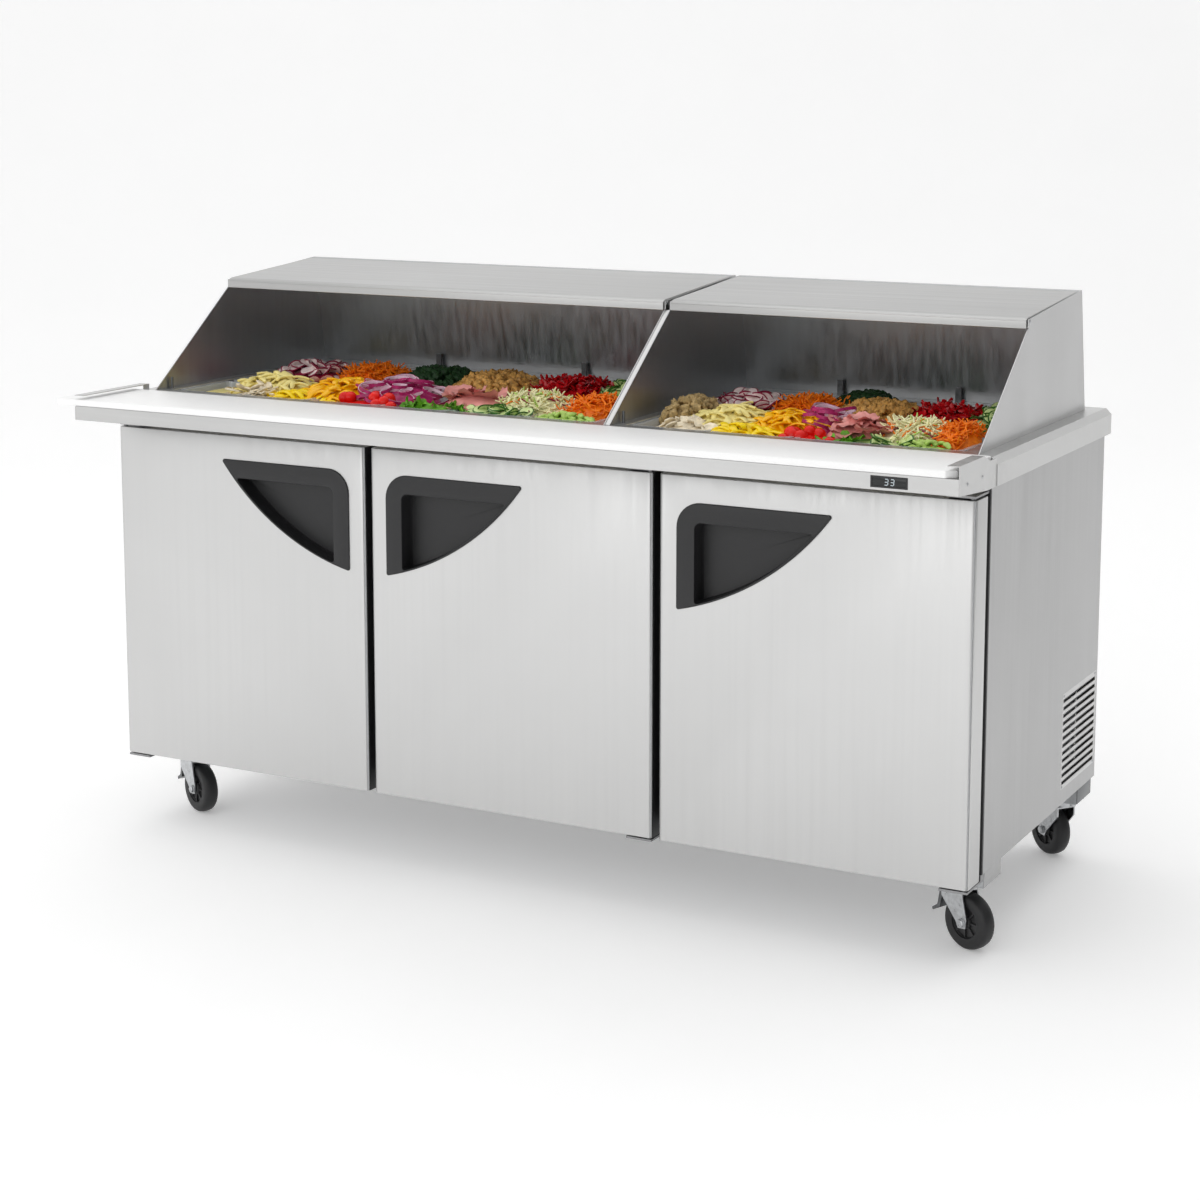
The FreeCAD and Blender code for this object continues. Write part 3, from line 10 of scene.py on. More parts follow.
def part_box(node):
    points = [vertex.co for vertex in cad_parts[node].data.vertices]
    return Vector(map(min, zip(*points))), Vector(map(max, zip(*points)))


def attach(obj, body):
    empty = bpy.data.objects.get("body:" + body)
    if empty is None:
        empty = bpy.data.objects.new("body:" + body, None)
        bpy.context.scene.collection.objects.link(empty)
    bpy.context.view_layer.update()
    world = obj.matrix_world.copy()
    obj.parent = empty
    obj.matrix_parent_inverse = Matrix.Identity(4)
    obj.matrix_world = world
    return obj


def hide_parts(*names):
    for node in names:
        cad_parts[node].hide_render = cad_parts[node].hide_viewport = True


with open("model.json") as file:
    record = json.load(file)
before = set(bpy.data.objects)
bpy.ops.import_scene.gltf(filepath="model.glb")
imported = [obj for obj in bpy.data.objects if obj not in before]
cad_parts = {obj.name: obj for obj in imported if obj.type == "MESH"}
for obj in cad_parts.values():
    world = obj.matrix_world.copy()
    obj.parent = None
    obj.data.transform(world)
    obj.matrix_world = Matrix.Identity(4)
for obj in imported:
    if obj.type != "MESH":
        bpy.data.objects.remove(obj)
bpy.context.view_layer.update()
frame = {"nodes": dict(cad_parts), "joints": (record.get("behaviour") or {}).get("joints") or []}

# A refrigerated sandwich prep table: brushed steel doors and hoods, a white cutting board,
# black recessed handles, casters, and two wells of food pans. Metres, +Z up, front to -Y.

NODES = frame["nodes"]
JOINTS = {j["name"]: j for j in frame["joints"]}
CASTERS = ("front_left", "front_right", "rear_left", "rear_right")
SIDES = ("left", "right")


# ---------------------------------------------------------------- materials
class Surface:
    """A procedural material, grown one node at a time from its principled shader."""

    def __init__(self, name, colour, roughness, metallic=0.0, **sockets):
        self.material = bpy.data.materials.new(name)
        self.material.use_nodes = True
        self.tree = self.material.node_tree
        self.shader = self.tree.nodes["Principled BSDF"]
        self.shader.inputs["Base Color"].default_value = (*colour, 1)
        self.shader.inputs["Roughness"].default_value = roughness
        self.shader.inputs["Metallic"].default_value = metallic
        for socket, number in sockets.items():
            self.shader.inputs[socket.replace("_", " ")].default_value = number
        self.colour = colour

    def node(self, kind, **inputs):
        node = self.tree.nodes.new("ShaderNode" + kind)
        for socket, given in inputs.items():
            key = int(socket[1:]) if socket[0] == "i" and socket[1:].isdigit() else socket
            if isinstance(given, bpy.types.NodeSocket):
                self.tree.links.new(given, node.inputs[key])
            else:
                node.inputs[key].default_value = given
        return node

    def link(self, source, socket):
        self.tree.links.new(source, self.shader.inputs[socket])

    def grain(self, scale, detail=4, stretch=(1, 1, 1), seed=0.0):
        """Noise over the object's own coordinates, drawn out along one or two axes."""
        place = self.node("TexCoord").outputs["Object"]
        shift = (seed, seed * 0.7, seed * 0.3)
        mapped = self.node("Mapping", Vector=place, Scale=stretch, Location=shift)
        noise = self.node("TexNoise", Vector=mapped.outputs["Vector"], Scale=scale, Detail=detail)
        return noise.outputs["Fac"]

    def ranged(self, source, low, high, from_low=0.3, from_high=0.7):
        node = self.node("MapRange", i0=source, i1=from_low, i2=from_high, i3=low, i4=high)
        return node.outputs["Result"]

    def ramp(self, source, stops):
        node = self.node("ValToRGB", Fac=source)
        elements = node.color_ramp.elements
        while len(elements) < len(stops):
            elements.new(0.5)
        for element, (place, colour) in zip(elements, stops):
            element.position = place
            element.color = (*colour, 1)
        return node.outputs["Color"]

    def tinted(self, source, spread, low=0.3, high=0.7):
        """Base colour that wanders a little darker and lighter with the source."""
        dark = tuple(c * (1 - spread) for c in self.colour)
        light = tuple(min(1, c * (1 + spread)) for c in self.colour)
        self.link(self.ramp(source, [(low, dark), (high, light)]), "Base Color")

    def bumped(self, source, strength, distance, edge=0.0):
        """A bump, over edges that are softened in shading where an edge radius is given."""
        node = self.node("Bump", Height=source, Strength=strength, Distance=distance)
        if edge:
            soft = self.node("Bevel", Radius=edge)
            soft.samples = 4
            self.tree.links.new(soft.outputs["Normal"], node.inputs["Normal"])
        self.link(node.outputs["Normal"], "Normal")


def brushed(name, colour, roughness, stretch, seed, edge=0.0008, spread=0.05):
    """Sheet steel with a fine grain along one direction, and faint broad clouding."""
    surface = Surface(name, colour, roughness, 1.0)
    fine = surface.grain(90, 5, stretch, seed)
    broad = surface.grain(2.2, 3, (1, 1, 1), seed)
    surface.link(surface.ranged(fine, roughness - 0.06, roughness + 0.08), "Roughness")
    mixed = surface.node("Math", i0=fine, i1=broad)
    mixed.operation = "MULTIPLY"
    surface.tinted(mixed.outputs["Value"], spread, 0.15, 0.4)
    surface.bumped(fine, 0.12, 0.0002, edge)
    return surface.material


def plain(name, colour, roughness, metallic=0.0, scale=300, spread=0.06, bump=0.1, edge=0.0,
          stretch=(1, 1, 1), **sockets):
    """A moulded, cast or painted surface with its own fine texture."""
    surface = Surface(name, colour, roughness, metallic, **sockets)
    noise = surface.grain(scale, 4, stretch)
    surface.tinted(noise, spread)
    surface.link(surface.ranged(noise, roughness * 0.88, min(1, roughness * 1.12)), "Roughness")
    surface.bumped(noise, bump, 0.0004, edge)
    return surface.material


ACROSS = (0.02, 1, 1)
UPRIGHT = (1, 1, 0.02)
MATS = {
    "door": brushed("door_steel", (0.64, 0.64, 0.636), 0.42, UPRIGHT, 1.0, spread=0.03),
    "panel": brushed("panel_steel", (0.46, 0.46, 0.46), 0.38, UPRIGHT, 2.0),
    "deck": brushed("deck_steel", (0.60, 0.60, 0.595), 0.34, ACROSS, 3.0),
    "lid": brushed("lid_steel", (0.49, 0.49, 0.485), 0.34, ACROSS, 4.0, spread=0.03),
    "hood": brushed("hood_steel", (0.52, 0.52, 0.52), 0.34, (1, 0.08, 0.02), 5.0, spread=0.03),
    "hood_inside": brushed("hood_inside_steel", (0.52, 0.54, 0.56), 0.38, UPRIGHT, 6.0),
    "galvanised": plain("galvanised", (0.42, 0.43, 0.44), 0.45, 0.9, 60, 0.22, 0.05),
    "liner": plain("liner_aluminium", (0.72, 0.73, 0.74), 0.4, 0.9, 40, 0.08, 0.25),
    "foam": plain("foam", (0.82, 0.74, 0.5), 0.9, 0, 500, 0.15, 0.6),
    "door_inner": plain("door_inner", (0.74, 0.75, 0.76), 0.4, 0, 120, 0.04, 0.1),
    "black": plain("black_plastic", (0.013, 0.013, 0.014), 0.42, 0, 900, 0.25, 0.25),
    "gasket": plain("gasket", (0.012, 0.012, 0.012), 0.62, 0, 200, 0.3, 0.15),
    "board": plain("board_plastic", (0.97, 0.97, 0.965), 0.42, 0, 700, 0.02, 0.2),
    "breaker": plain("breaker_strip", (0.03, 0.03, 0.031), 0.5, 0, 200, 0.1, 0.1),
    "lens": plain("lens", (0.008, 0.01, 0.01), 0.12, 0, 50, 0.2, 0.0),
    "wire": plain("coated_wire", (0.78, 0.79, 0.79), 0.3, 0, 150, 0.05, 0.1),
    "fins": plain("fins", (0.62, 0.63, 0.64), 0.35, 1, 80, 0.1, 0.1),
    "copper": plain("copper", (0.72, 0.36, 0.2), 0.32, 1, 60, 0.2, 0.05),
    "enamel": plain("black_enamel", (0.02, 0.02, 0.021), 0.35, 0, 200, 0.3, 0.15),
    "blade": plain("fan_blade", (0.45, 0.46, 0.47), 0.35, 0.9, 60, 0.1, 0.05),
    "zinc": plain("zinc", (0.52, 0.53, 0.54), 0.3, 1, 120, 0.15, 0.12, 0.0006),
    "bracket": plain("hinge_metal", (0.30, 0.30, 0.305), 0.38, 1, 120, 0.15, 0.1, 0.0006),
    "pedal": plain("pedal_metal", (0.16, 0.165, 0.17), 0.36, 0.8, 120, 0.2, 0.1, 0.0006),
    "rubber": plain("wheel_rubber", (0.010, 0.010, 0.011), 0.5, 0, 350, 0.3, 0.3),
    "hub": plain("wheel_hub", (0.025, 0.025, 0.026), 0.4, 0, 300, 0.2, 0.2),
    "pan": plain("clear_pan", (0.72, 0.75, 0.77), 0.14, 0, 60, 0.04, 0.02,
                 Transmission_Weight=0.5, IOR=1.5),
}

digit = Surface("digit_glow", (0.45, 0.5, 0.53), 0.4)
digit.shader.inputs["Emission Color"].default_value = (0.7, 0.86, 0.95, 1)
digit.shader.inputs["Emission Strength"].default_value = 0.12
digit.tinted(digit.grain(900, 2), 0.1)
MATS["digit"] = digit.material


# ---------------------------------------------------------------- mesh building
def face_outwards(mesh):
    """Weld a mesh's doubled points and turn every closed shape's faces outwards."""
    work = bmesh.new()
    work.from_mesh(mesh)
    bmesh.ops.remove_doubles(work, verts=work.verts, dist=1e-7)
    bmesh.ops.recalc_face_normals(work, faces=work.faces)
    work.to_mesh(mesh)
    work.free()


def in_scene(name, data):
    """A new object with this data, put into the scene."""
    obj = bpy.data.objects.new(name, data)
    bpy.context.scene.collection.objects.link(obj)
    return obj


def mesh_of(name, shape):
    """A mesh of a shape, which is a pair of vertices and faces."""
    mesh = bpy.data.meshes.new(name)
    mesh.from_pydata([tuple(v) for v in shape[0]], [], shape[1])
    return mesh


def add_mesh(name, verts, faces, mats, body, replaced=(), indices=None, smooth=35):
    """A finished piece that rides on its CAD body."""
    mesh = mesh_of(name, (verts, faces))
    mesh.validate()
    mesh.update()
    for mat in mats:
        mesh.materials.append(MATS[mat] if isinstance(mat, str) else mat)
    if indices:
        mesh.polygons.foreach_set("material_index", indices)
    face_outwards(mesh)
    mesh.shade_smooth()
    mesh.set_sharp_from_angle(angle=math.radians(smooth))
    obj = in_scene(name, mesh)
    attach(obj, body)
    if replaced:
        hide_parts(*replaced)
    return obj


def loft(loops, closed=True, caps=True, wrap=False):
    """Vertices and faces through a row of loops that all have the same number of points."""
    count = len(loops[0])
    verts = [Vector(p) for loop in loops for p in loop]
    faces = []
    rows = len(loops) if wrap else len(loops) - 1
    for i in range(rows):
        a = i * count
        b = ((i + 1) % len(loops)) * count
        for k in range(count if closed else count - 1):
            n = (k + 1) % count
            faces.append((a + k, a + n, b + n, b + k))
    if caps and not wrap:
        faces.append(tuple(reversed(range(count))))
        faces.append(tuple(range((len(loops) - 1) * count, len(loops) * count)))
    return verts, faces


class Pile:
    """Several shapes gathered into one mesh."""

    def __init__(self):
        self.verts, self.faces, self.indices = [], [], []

    def add(self, shape, index=0, matrix=None):
        verts, faces = shape
        base = len(self.verts)
        self.verts += [matrix @ Vector(v) for v in verts] if matrix else verts
        self.faces += [tuple(base + k for k in f) for f in faces]
        self.indices += [index] * len(faces)

    def finish(self, name, mats, body, replaced=(), smooth=35):
        return add_mesh(name, self.verts, self.faces, mats, body, replaced, self.indices,
                        smooth)


def rounded(corners, radius, steps=5):
    """A closed 2-D outline with each corner turned into an arc. A corner may carry its radius."""
    points = []
    count = len(corners)
    for i, corner in enumerate(corners):
        r = corner[2] if len(corner) > 2 else radius
        p = Vector(corner[:2])
        if r == 0:
            points.append(p)
            continue
        back = Vector(corners[i - 1][:2]) - p
        ahead = Vector(corners[(i + 1) % count][:2]) - p
        half = back.angle(ahead) / 2
        reach = min(r / max(math.tan(half), 1e-6), back.length * 0.49, ahead.length * 0.49)
        r = reach * math.tan(half)
        centre = p + (back.normalized() + ahead.normalized()).normalized() * (r / math.sin(half))
        a, b = p + back.normalized() * reach - centre, p + ahead.normalized() * reach - centre
        for k in range(steps + 1):
            t = k / steps
            direction = a.lerp(b, t)
            points.append(centre + direction.normalized() * r if r > 1e-7 else p)
    return points


def rectangle(x0, x1, y0, y1, radius, steps=5):
    """A rectangle's outline with round corners."""
    return rounded([(x0, y0), (x1, y0), (x1, y1), (x0, y1)], radius, steps)


def inset(points, amount):
    """A 2-D outline drawn in by an amount, towards its inside."""
    count = len(points)
    area = sum(points[i].x * points[(i + 1) % count].y - points[(i + 1) % count].x * points[i].y
               for i in range(count))
    turn = 1 if area > 0 else -1
    drawn = []
    for i, p in enumerate(points):
        d = points[(i + 1) % count] - points[i - 1]
        if d.length < 1e-9:
            drawn.append(p.copy())
            continue
        d.normalize()
        drawn.append(p + Vector((-d.y, d.x)) * amount * turn)
    return drawn


def solid(points, low, high, axis, soft=0.0006):
    """An outline padded along an axis, with softened ends."""
    def raised(loop, level):
        if axis == "x":
            return [(level, p.x, p.y) for p in loop]
        if axis == "y":
            return [(p.x, level, p.y) for p in loop]
        return [(p.x, p.y, level) for p in loop]
    small, half = inset(points, soft), inset(points, soft * 0.3)
    return loft([raised(small, low), raised(half, low + soft * 0.3), raised(points, low + soft),
                 raised(points, high - soft), raised(half, high - soft * 0.3), raised(small, high)])


def lathe(profile, segments=40, wrap=False):
    """A profile of (radius, height) points turned about +Z."""
    loops = []
    for k in range(segments):
        a = 2 * math.pi * k / segments
        loops.append([(r * math.cos(a), r * math.sin(a), z) for r, z in profile])
    return loft(loops, closed=wrap, caps=False, wrap=True)


def tube(path, radius, sides=8):
    """A round wire along a path of points."""
    path = [Vector(p) for p in path]
    loops = []
    side = None
    for i, p in enumerate(path):
        ahead = (path[min(i + 1, len(path) - 1)] - path[max(i - 1, 0)]).normalized()
        if side is None:
            side = ahead.orthogonal().normalized()
        side = (side - ahead * side.dot(ahead)).normalized()
        other = ahead.cross(side)
        loops.append([p + (side * math.cos(a) + other * math.sin(a)) * radius
                      for a in (2 * math.pi * k / sides for k in range(sides))])
    return loft(loops)


def brick(x, y, z, radius=0.0015, soft=0.0008):
    """A box with rounded upright edges and softened top and bottom."""
    return solid(rectangle(*x, *y, radius, 3), *z, "z", soft)


def hollow_out(obj, shape):
    """Take one closed shape out of a finished piece."""
    mesh = mesh_of("cutter", shape)
    face_outwards(mesh)
    tool = in_scene("cutter", mesh)
    step = obj.modifiers.new("hole", "BOOLEAN")
    step.operation = "DIFFERENCE"
    step.solver = "EXACT"
    step.object = tool
    bpy.context.view_layer.update()
    cut = bpy.data.meshes.new_from_object(obj.evaluated_get(bpy.context.evaluated_depsgraph_get()))
    obj.modifiers.clear()
    old, obj.data = obj.data, cut
    bpy.data.meshes.remove(old)
    bpy.data.objects.remove(tool)
    cut.shade_smooth()
    cut.set_sharp_from_angle(angle=math.radians(25))


def pointing(direction, place):
    """A matrix that stands +Z along a direction, at a place."""
    turn = Vector(direction).to_track_quat("Z", "Y").to_matrix().to_4x4()
    return Matrix.Translation(Vector(place)) @ turn


# ---------------------------------------------------------------- CAD nodes kept as they are
KEPT = {
    "panel": ["cabinet_shell"],
    "breaker": ["front_frame"],
    "deck": ["counter_top", "work_apron", "board_brackets", "adapter_bars", "pan_well"],
    "hood": ["shelf_supports"],
    "pedal": ["hood_clips"],
    "bracket": ["hinge_brackets"],
    "galvanised": ["base_channels", "control_box"],
    "liner": ["cabinet_liner", "evaporator_cover"],
    "foam": ["foam_insulation"],
    "door_inner": ["door_left_core", "door_middle_core", "door_right_core"],
    "black": ["display_housing", "power_inlet"],
    "fins": ["evaporator_coil", "condenser_coil"],
    "copper": ["refrigerant_lines"],
    "enamel": ["compressor", "fan_motors"],
    "blade": ["evaporator_blade", "condenser_blade"],
    "zinc": ["caster_plates"] + [f"caster_fork_{caster}" for caster in CASTERS],
}


def paint(node_name, *mats):
    """Give a CAD node its materials."""
    materials = NODES[node_name].data.materials
    materials.clear()
    for mat in mats:
        materials.append(MATS[mat])


for mat, names in KEPT.items():
    for node_name in names:
        paint(node_name, mat)
for caster in CASTERS[:2]:
    paint(f"caster_pedal_{caster}", "pedal")

for side in SIDES:
    hood = NODES[f"hood_{side}"].data
    low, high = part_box(f"hood_{side}")
    heart = Vector(((low.x + high.x) / 2, 0.05, 0.98))
    paint(f"hood_{side}", "hood", "hood_inside")
    for face in hood.polygons:
        inward = (heart - face.center).dot(face.normal) > 0
        thin_edge = abs(face.normal.x) < 0.5 and face.center.y < 0.04
        face.material_index = 1 if inward and not thin_edge else 0


# ---------------------------------------------------------------- doors
# width, height, corner radius, radius of the bow, and distance from the handle's edge
SAIL = {"rim": (0.302, 0.198, 0.047, 0.510, 0.0), "cup": (0.288, 0.187, 0.041, 0.504, 0.006),
        "hollow": (0.229, 0.148, 0.012, 0.492, 0.0365)}
SIDE_STEPS, CORNER_STEPS, BOW_STEPS = 8, 10, 20
TIP_RADIUS = 0.004
HANDLE_EDGE = 0.036
HANDLE_DROP = 0.047
CUP_FLOOR = 0.031
CUP_DEPTH = 0.034
SHEET = 0.0015  # thickness of the folded steel
FOLD_RADIUS = 0.009


def sail(kind, hinge, edge, top):
    """The handle's outline: straight top and side, a round corner, and a long bowed edge."""
    width, height, corner, bow, border = SAIL[kind]
    tip, foot = Vector((width, 0)), Vector((0, -height))
    points = [tip.lerp(Vector((corner, 0)), k / SIDE_STEPS) for k in range(SIDE_STEPS)]
    centre = Vector((corner, -corner))
    points += [centre + Vector((-math.sin(a), math.cos(a))) * corner
               for a in (math.pi / 2 * k / CORNER_STEPS for k in range(CORNER_STEPS))]
    points += [Vector((0, -corner)).lerp(foot, k / SIDE_STEPS) for k in range(SIDE_STEPS)]
    tips = (0, len(points))
    middle, half = (tip + foot) / 2, (tip - foot).length / 2
    hub = middle + Vector((-height, width)).normalized() * math.sqrt(bow ** 2 - half ** 2)
    a, b = foot - hub, tip - hub
    sweep = a.angle(b)
    first = math.atan2(a.y, a.x)
    points += [hub + Vector((math.cos(a), math.sin(a))) * bow
               for a in (first + sweep * k / BOW_STEPS for k in range(BOW_STEPS))]
    corners = [(edge + hinge * (p.x + border), top - border + p.y, TIP_RADIUS if i in tips else 0)
               for i, p in enumerate(points)]
    return rounded(corners, 0, 4)


def door_piece(name, hinge):
    """A door's skin, handle and gasket. The hinge is 1 where it is right of the handle, else -1."""
    low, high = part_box(f"door_{name}_skin")
    edge = low.x + HANDLE_EDGE if hinge > 0 else high.x - HANDLE_EDGE
    top = high.z - HANDLE_DROP
    body = f"{name}_door"

    # folded skin: round upright edges, softened top and bottom, and the handle's hole
    plan = rounded([(low.x, low.y, FOLD_RADIUS), (high.x, low.y, FOLD_RADIUS),
                    (high.x, high.y, 0.0005), (low.x, high.y, 0.0005)], 0.001, 8)
    outer = Pile()
    outer.add(solid(plan, low.z, high.z, "z", SHEET))
    skin = outer.finish(f"skin_{name}", ["door"], body, [f"door_{name}_skin"], 25)
    hollow_out(skin, brick((low.x + SHEET, high.x - SHEET), (low.y + SHEET, high.y + 0.01),
                           (low.z + SHEET, high.z - SHEET)))
    cup = sail("cup", hinge, edge, top)
    hollow_out(skin, solid(cup, low.y - 0.01, low.y + CUP_DEPTH, "y", 0.0004))
    # the side that faces the next door gets the black plastic as painted shade for the narrow gap
    # between the doors
    skin.data.materials.append(MATS["black"])
    for polygon in skin.data.polygons:
        if name != "right" and polygon.normal.x > 0.8 and polygon.center.x > high.x - 0.002:
            polygon.material_index = 1

    # handle: raised rim, rounded lip, walls of the hollow, and its filleted floor. Each level is
    # an outline, the amount that it is drawn in, and its Y
    rim = sail("rim", hinge, edge, top)
    mouth = sail("hollow", hinge, edge, top)
    face = low.y - 0.003
    floor = low.y + CUP_FLOOR
    levels = [(rim, 0, low.y + 0.001), (rim, 0, face + 0.0016), (rim, 0.0006, face + 0.0005),
              (rim, 0.0018, face), (mouth, -0.003, face), (mouth, -0.0008, face + 0.0008),
              (mouth, 0, face + 0.003), (mouth, 0.0008, floor - 0.008),
              (mouth, 0.002, floor - 0.0025), (mouth, 0.0035, floor)]
    loops = [[(p.x, level, p.y) for p in inset(loop, amount)] for loop, amount, level in levels]
    heart = sum((Vector(p) for p in loops[-1]), Vector()) / len(mouth)
    loops += [[tuple(Vector(p).lerp(heart, share)) for p in loops[-1]] for share in (0.3, 0.97)]
    verts, faces = loft(loops, caps=False)
    faces.append(tuple(range(len(verts) - len(rim), len(verts))))
    back = [(p.x, low.y + CUP_DEPTH, p.y) for p in cup]
    shell = Pile()
    shell.add((verts, faces))
    shell.add(loft([[(p.x, low.y + 0.001, p.y) for p in inset(rim, 0.004)], back], caps=False))
    shell.finish(f"handle_{name}", ["black"], body, [f"door_{name}_handle"], 40)

    # gasket: a bellows section swept round the door's back
    g_low, g_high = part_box(f"door_{name}_gasket")
    deep = g_high.y - g_low.y
    section = [(0, 0), (0.001, 0.3), (0, 0.5), (0.001, 0.75), (0.003, 1.0), (0.019, 1.0),
               (0.021, 0.75), (0.022, 0.5), (0.0205, 0.3), (0.022, 0)]
    loops = []
    for drawn, share in section:
        ring = rectangle(g_low.x + drawn, g_high.x - drawn, g_low.z + drawn, g_high.z - drawn,
                         0.004, 3)
        loops.append([(p.x, g_low.y + deep * share, p.y) for p in ring])
    gasket = Pile()
    gasket.add(loft(loops, wrap=True))
    gasket.finish(f"seal_{name}", ["gasket"], body, [f"door_{name}_gasket"], 30)


for door_name, side in (("left", -1), ("middle", 1), ("right", 1)):
    door_piece(door_name, side)


# ---------------------------------------------------------------- board, lids, display, screws
BOARD_CHAMFER = 0.016
low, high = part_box("cutting_board")
board = Pile()
plan = rounded([(low.x, low.y), (high.x - BOARD_CHAMFER, low.y), (high.x, low.y + BOARD_CHAMFER),
                (high.x, high.y), (low.x, high.y)], 0.004, 4)
board.add(solid(plan, low.z, high.z, "z", 0.0022))
board.finish("board", ["board"], "board", ["cutting_board"], 40)

# front and rear edge of the hoods' sloping top, as (Y, Z)
TOP_FRONT, TOP_REAR = (0.021, 1.106), (0.345, 1.130)
TOP_SLOPE = (TOP_REAR[1] - TOP_FRONT[1]) / (TOP_REAR[0] - TOP_FRONT[0])


def under(y, drop, radius=0.001):
    """A corner of the lid's profile, a drop below the slope of the hoods' top."""
    return y, TOP_FRONT[1] + (y - TOP_FRONT[0]) * TOP_SLOPE - drop, radius


for side in SIDES:
    low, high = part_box(f"lid_{side}")
    front = low.y
    profile = rounded([(front, low.z, 0.0012), (front, 1.1030, 0.0075), (front + 0.012, 1.1068, 0.004),
                       under(high.y - 0.0005, 0.0, 0.0025), under(high.y - 0.0005, 0.0147, 0.002),
                       under(front + 0.010, 0.0150), (front + 0.005, low.z + 0.004, 0.001),
                       (front + 0.005, low.z, 0.001)], 0.001, 6)
    lid = Pile()
    lid.add(solid(profile, low.x, high.x, "x", 0.0008))
    # hem along the front edge
    hem = rectangle(front, front + 0.0035, 1.0995, 1.1012, 0.0006, 2)
    lid.add(solid(hem, low.x + 0.001, high.x - 0.001, "x", 0.0003))
    lid.finish(f"lid_{side}_sheet", ["lid"], f"{side}_lid", [f"lid_{side}"], 30)

low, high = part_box("display_lens")
lens = Pile()
outline = rectangle(low.x, high.x, low.z, high.z, 0.0008, 3)
lens.add(solid(outline, low.y, high.y, "y", 0.0003))
# ends of the five lit bars of a figure 3, in widths and heights of the figure
FIGURE = ((0, 1, 1, 1), (1, 0.5, 1, 1), (0, 0.5, 1, 0.5), (1, 0, 1, 0.5), (0, 0, 1, 0))
FIGURE_WIDE, FIGURE_HIGH, FIGURE_PITCH, FIGURE_LEAN = 0.006, 0.010, 0.0105, 0.0008
BAR_HALF, BAR_GAP = 0.0007, 0.0006
for place in range(2):
    left = (low.x + high.x) / 2 - 0.0085 + place * FIGURE_PITCH
    foot = (low.z + high.z) / 2 - FIGURE_HIGH / 2
    for x0, z0, x1, z1 in FIGURE:
        ends = [Vector((left + x * FIGURE_WIDE + z * FIGURE_LEAN, foot + z * FIGURE_HIGH))
                for x, z in ((x0, z0), (x1, z1))]
        along = (ends[1] - ends[0]).normalized()
        aside = Vector((-along.y, along.x)) * BAR_HALF
        a, b = ends[0] + along * BAR_GAP, ends[1] - along * BAR_GAP
        loop = [a - aside, b - aside, b + aside, a + aside]
        lens.add(solid(loop, low.y - 0.0001, low.y + 0.0002, "y", 0.00005), 1)
lens.finish("readout", ["lens", "digit"], "cabinet", ["display_lens"], 30)


def screw_head(radius, high):
    """A domed head with a round dimple in its middle."""
    profile = [(0.0, high * 0.55), (radius * 0.16, high * 0.6), (radius * 0.22, high),
               (radius * 0.6, high * 0.86), (radius * 0.9, high * 0.5), (radius, high * 0.1),
               (radius, 0)]
    return lathe(profile, 20)


def loose_parts(node_name):
    """The separate solids of a CAD node, as (low corner, high corner) pairs."""
    mesh = NODES[node_name].data
    parent = list(range(len(mesh.vertices)))
    seats = {}
    for v in mesh.vertices:
        key = tuple(round(c, 5) for c in v.co)
        parent[v.index] = seats.setdefault(key, v.index)

    def root(i):
        while parent[i] != i:
            parent[i] = parent[parent[i]]
            i = parent[i]
        return i

    for e in mesh.edges:
        a, b = root(e.vertices[0]), root(e.vertices[1])
        if a != b:
            parent[b] = a
    groups = {}
    for v in mesh.vertices:
        groups.setdefault(root(v.index), []).append(v.co)
    return [(Vector([min(c[i] for c in g) for i in range(3)]),
             Vector([max(c[i] for c in g) for i in range(3)])) for g in groups.values()]


heads = Pile()
for low, high in loose_parts("screws"):
    middle = (low + high) / 2
    size = (high.z - low.z) / 2
    heads.add(screw_head(size, high.x - low.x), 0, pointing((1, 0, 0), (low.x, middle.y, middle.z)))
heads.finish("screw_heads", ["zinc"], "cabinet", ["screws"], 30)

PIN_RADIUS, PIN_HEAD = 0.0035, 0.0015
hood_starts = [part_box(f"hood_{side}")[0].x for side in SIDES]
pins = Pile()
for low, high in loose_parts("lid_pivot_screws"):
    middle = (low + high) / 2
    radius = (high.z - low.z) / 2
    # the head is outside the hood: on the left of a pin at the hood's left side, else on its right
    if min(abs(low.x + PIN_HEAD - start) for start in hood_starts) < 0.001:
        seat = pointing((-1, 0, 0), (low.x + PIN_HEAD, middle.y, middle.z))
    else:
        seat = pointing((1, 0, 0), (high.x - PIN_HEAD, middle.y, middle.z))
    pins.add(screw_head(radius, PIN_HEAD), 0, seat)
    pins.add(tube([(low.x + 0.001, middle.y, middle.z), (high.x - 0.001, middle.y, middle.z)],
                  PIN_RADIUS, 16))
pins.finish("pivot_pins", ["zinc"], "cabinet", ["lid_pivot_screws"], 30)


# ---------------------------------------------------------------- louvred panels
SLOT_PITCH, SLOT_HIGH, SLOT_COUNT = 0.0146, 0.008, 12
BLADE_DEEP, BLADE_THICK, BLADE_TURN = 0.008, 0.0009, 1.35


def slots_from(first):
    """The low and high edges of the slots, from the lowest slot's low edge up."""
    return [(first + SLOT_PITCH * k, first + SLOT_HIGH + SLOT_PITCH * k) for k in range(SLOT_COUNT)]


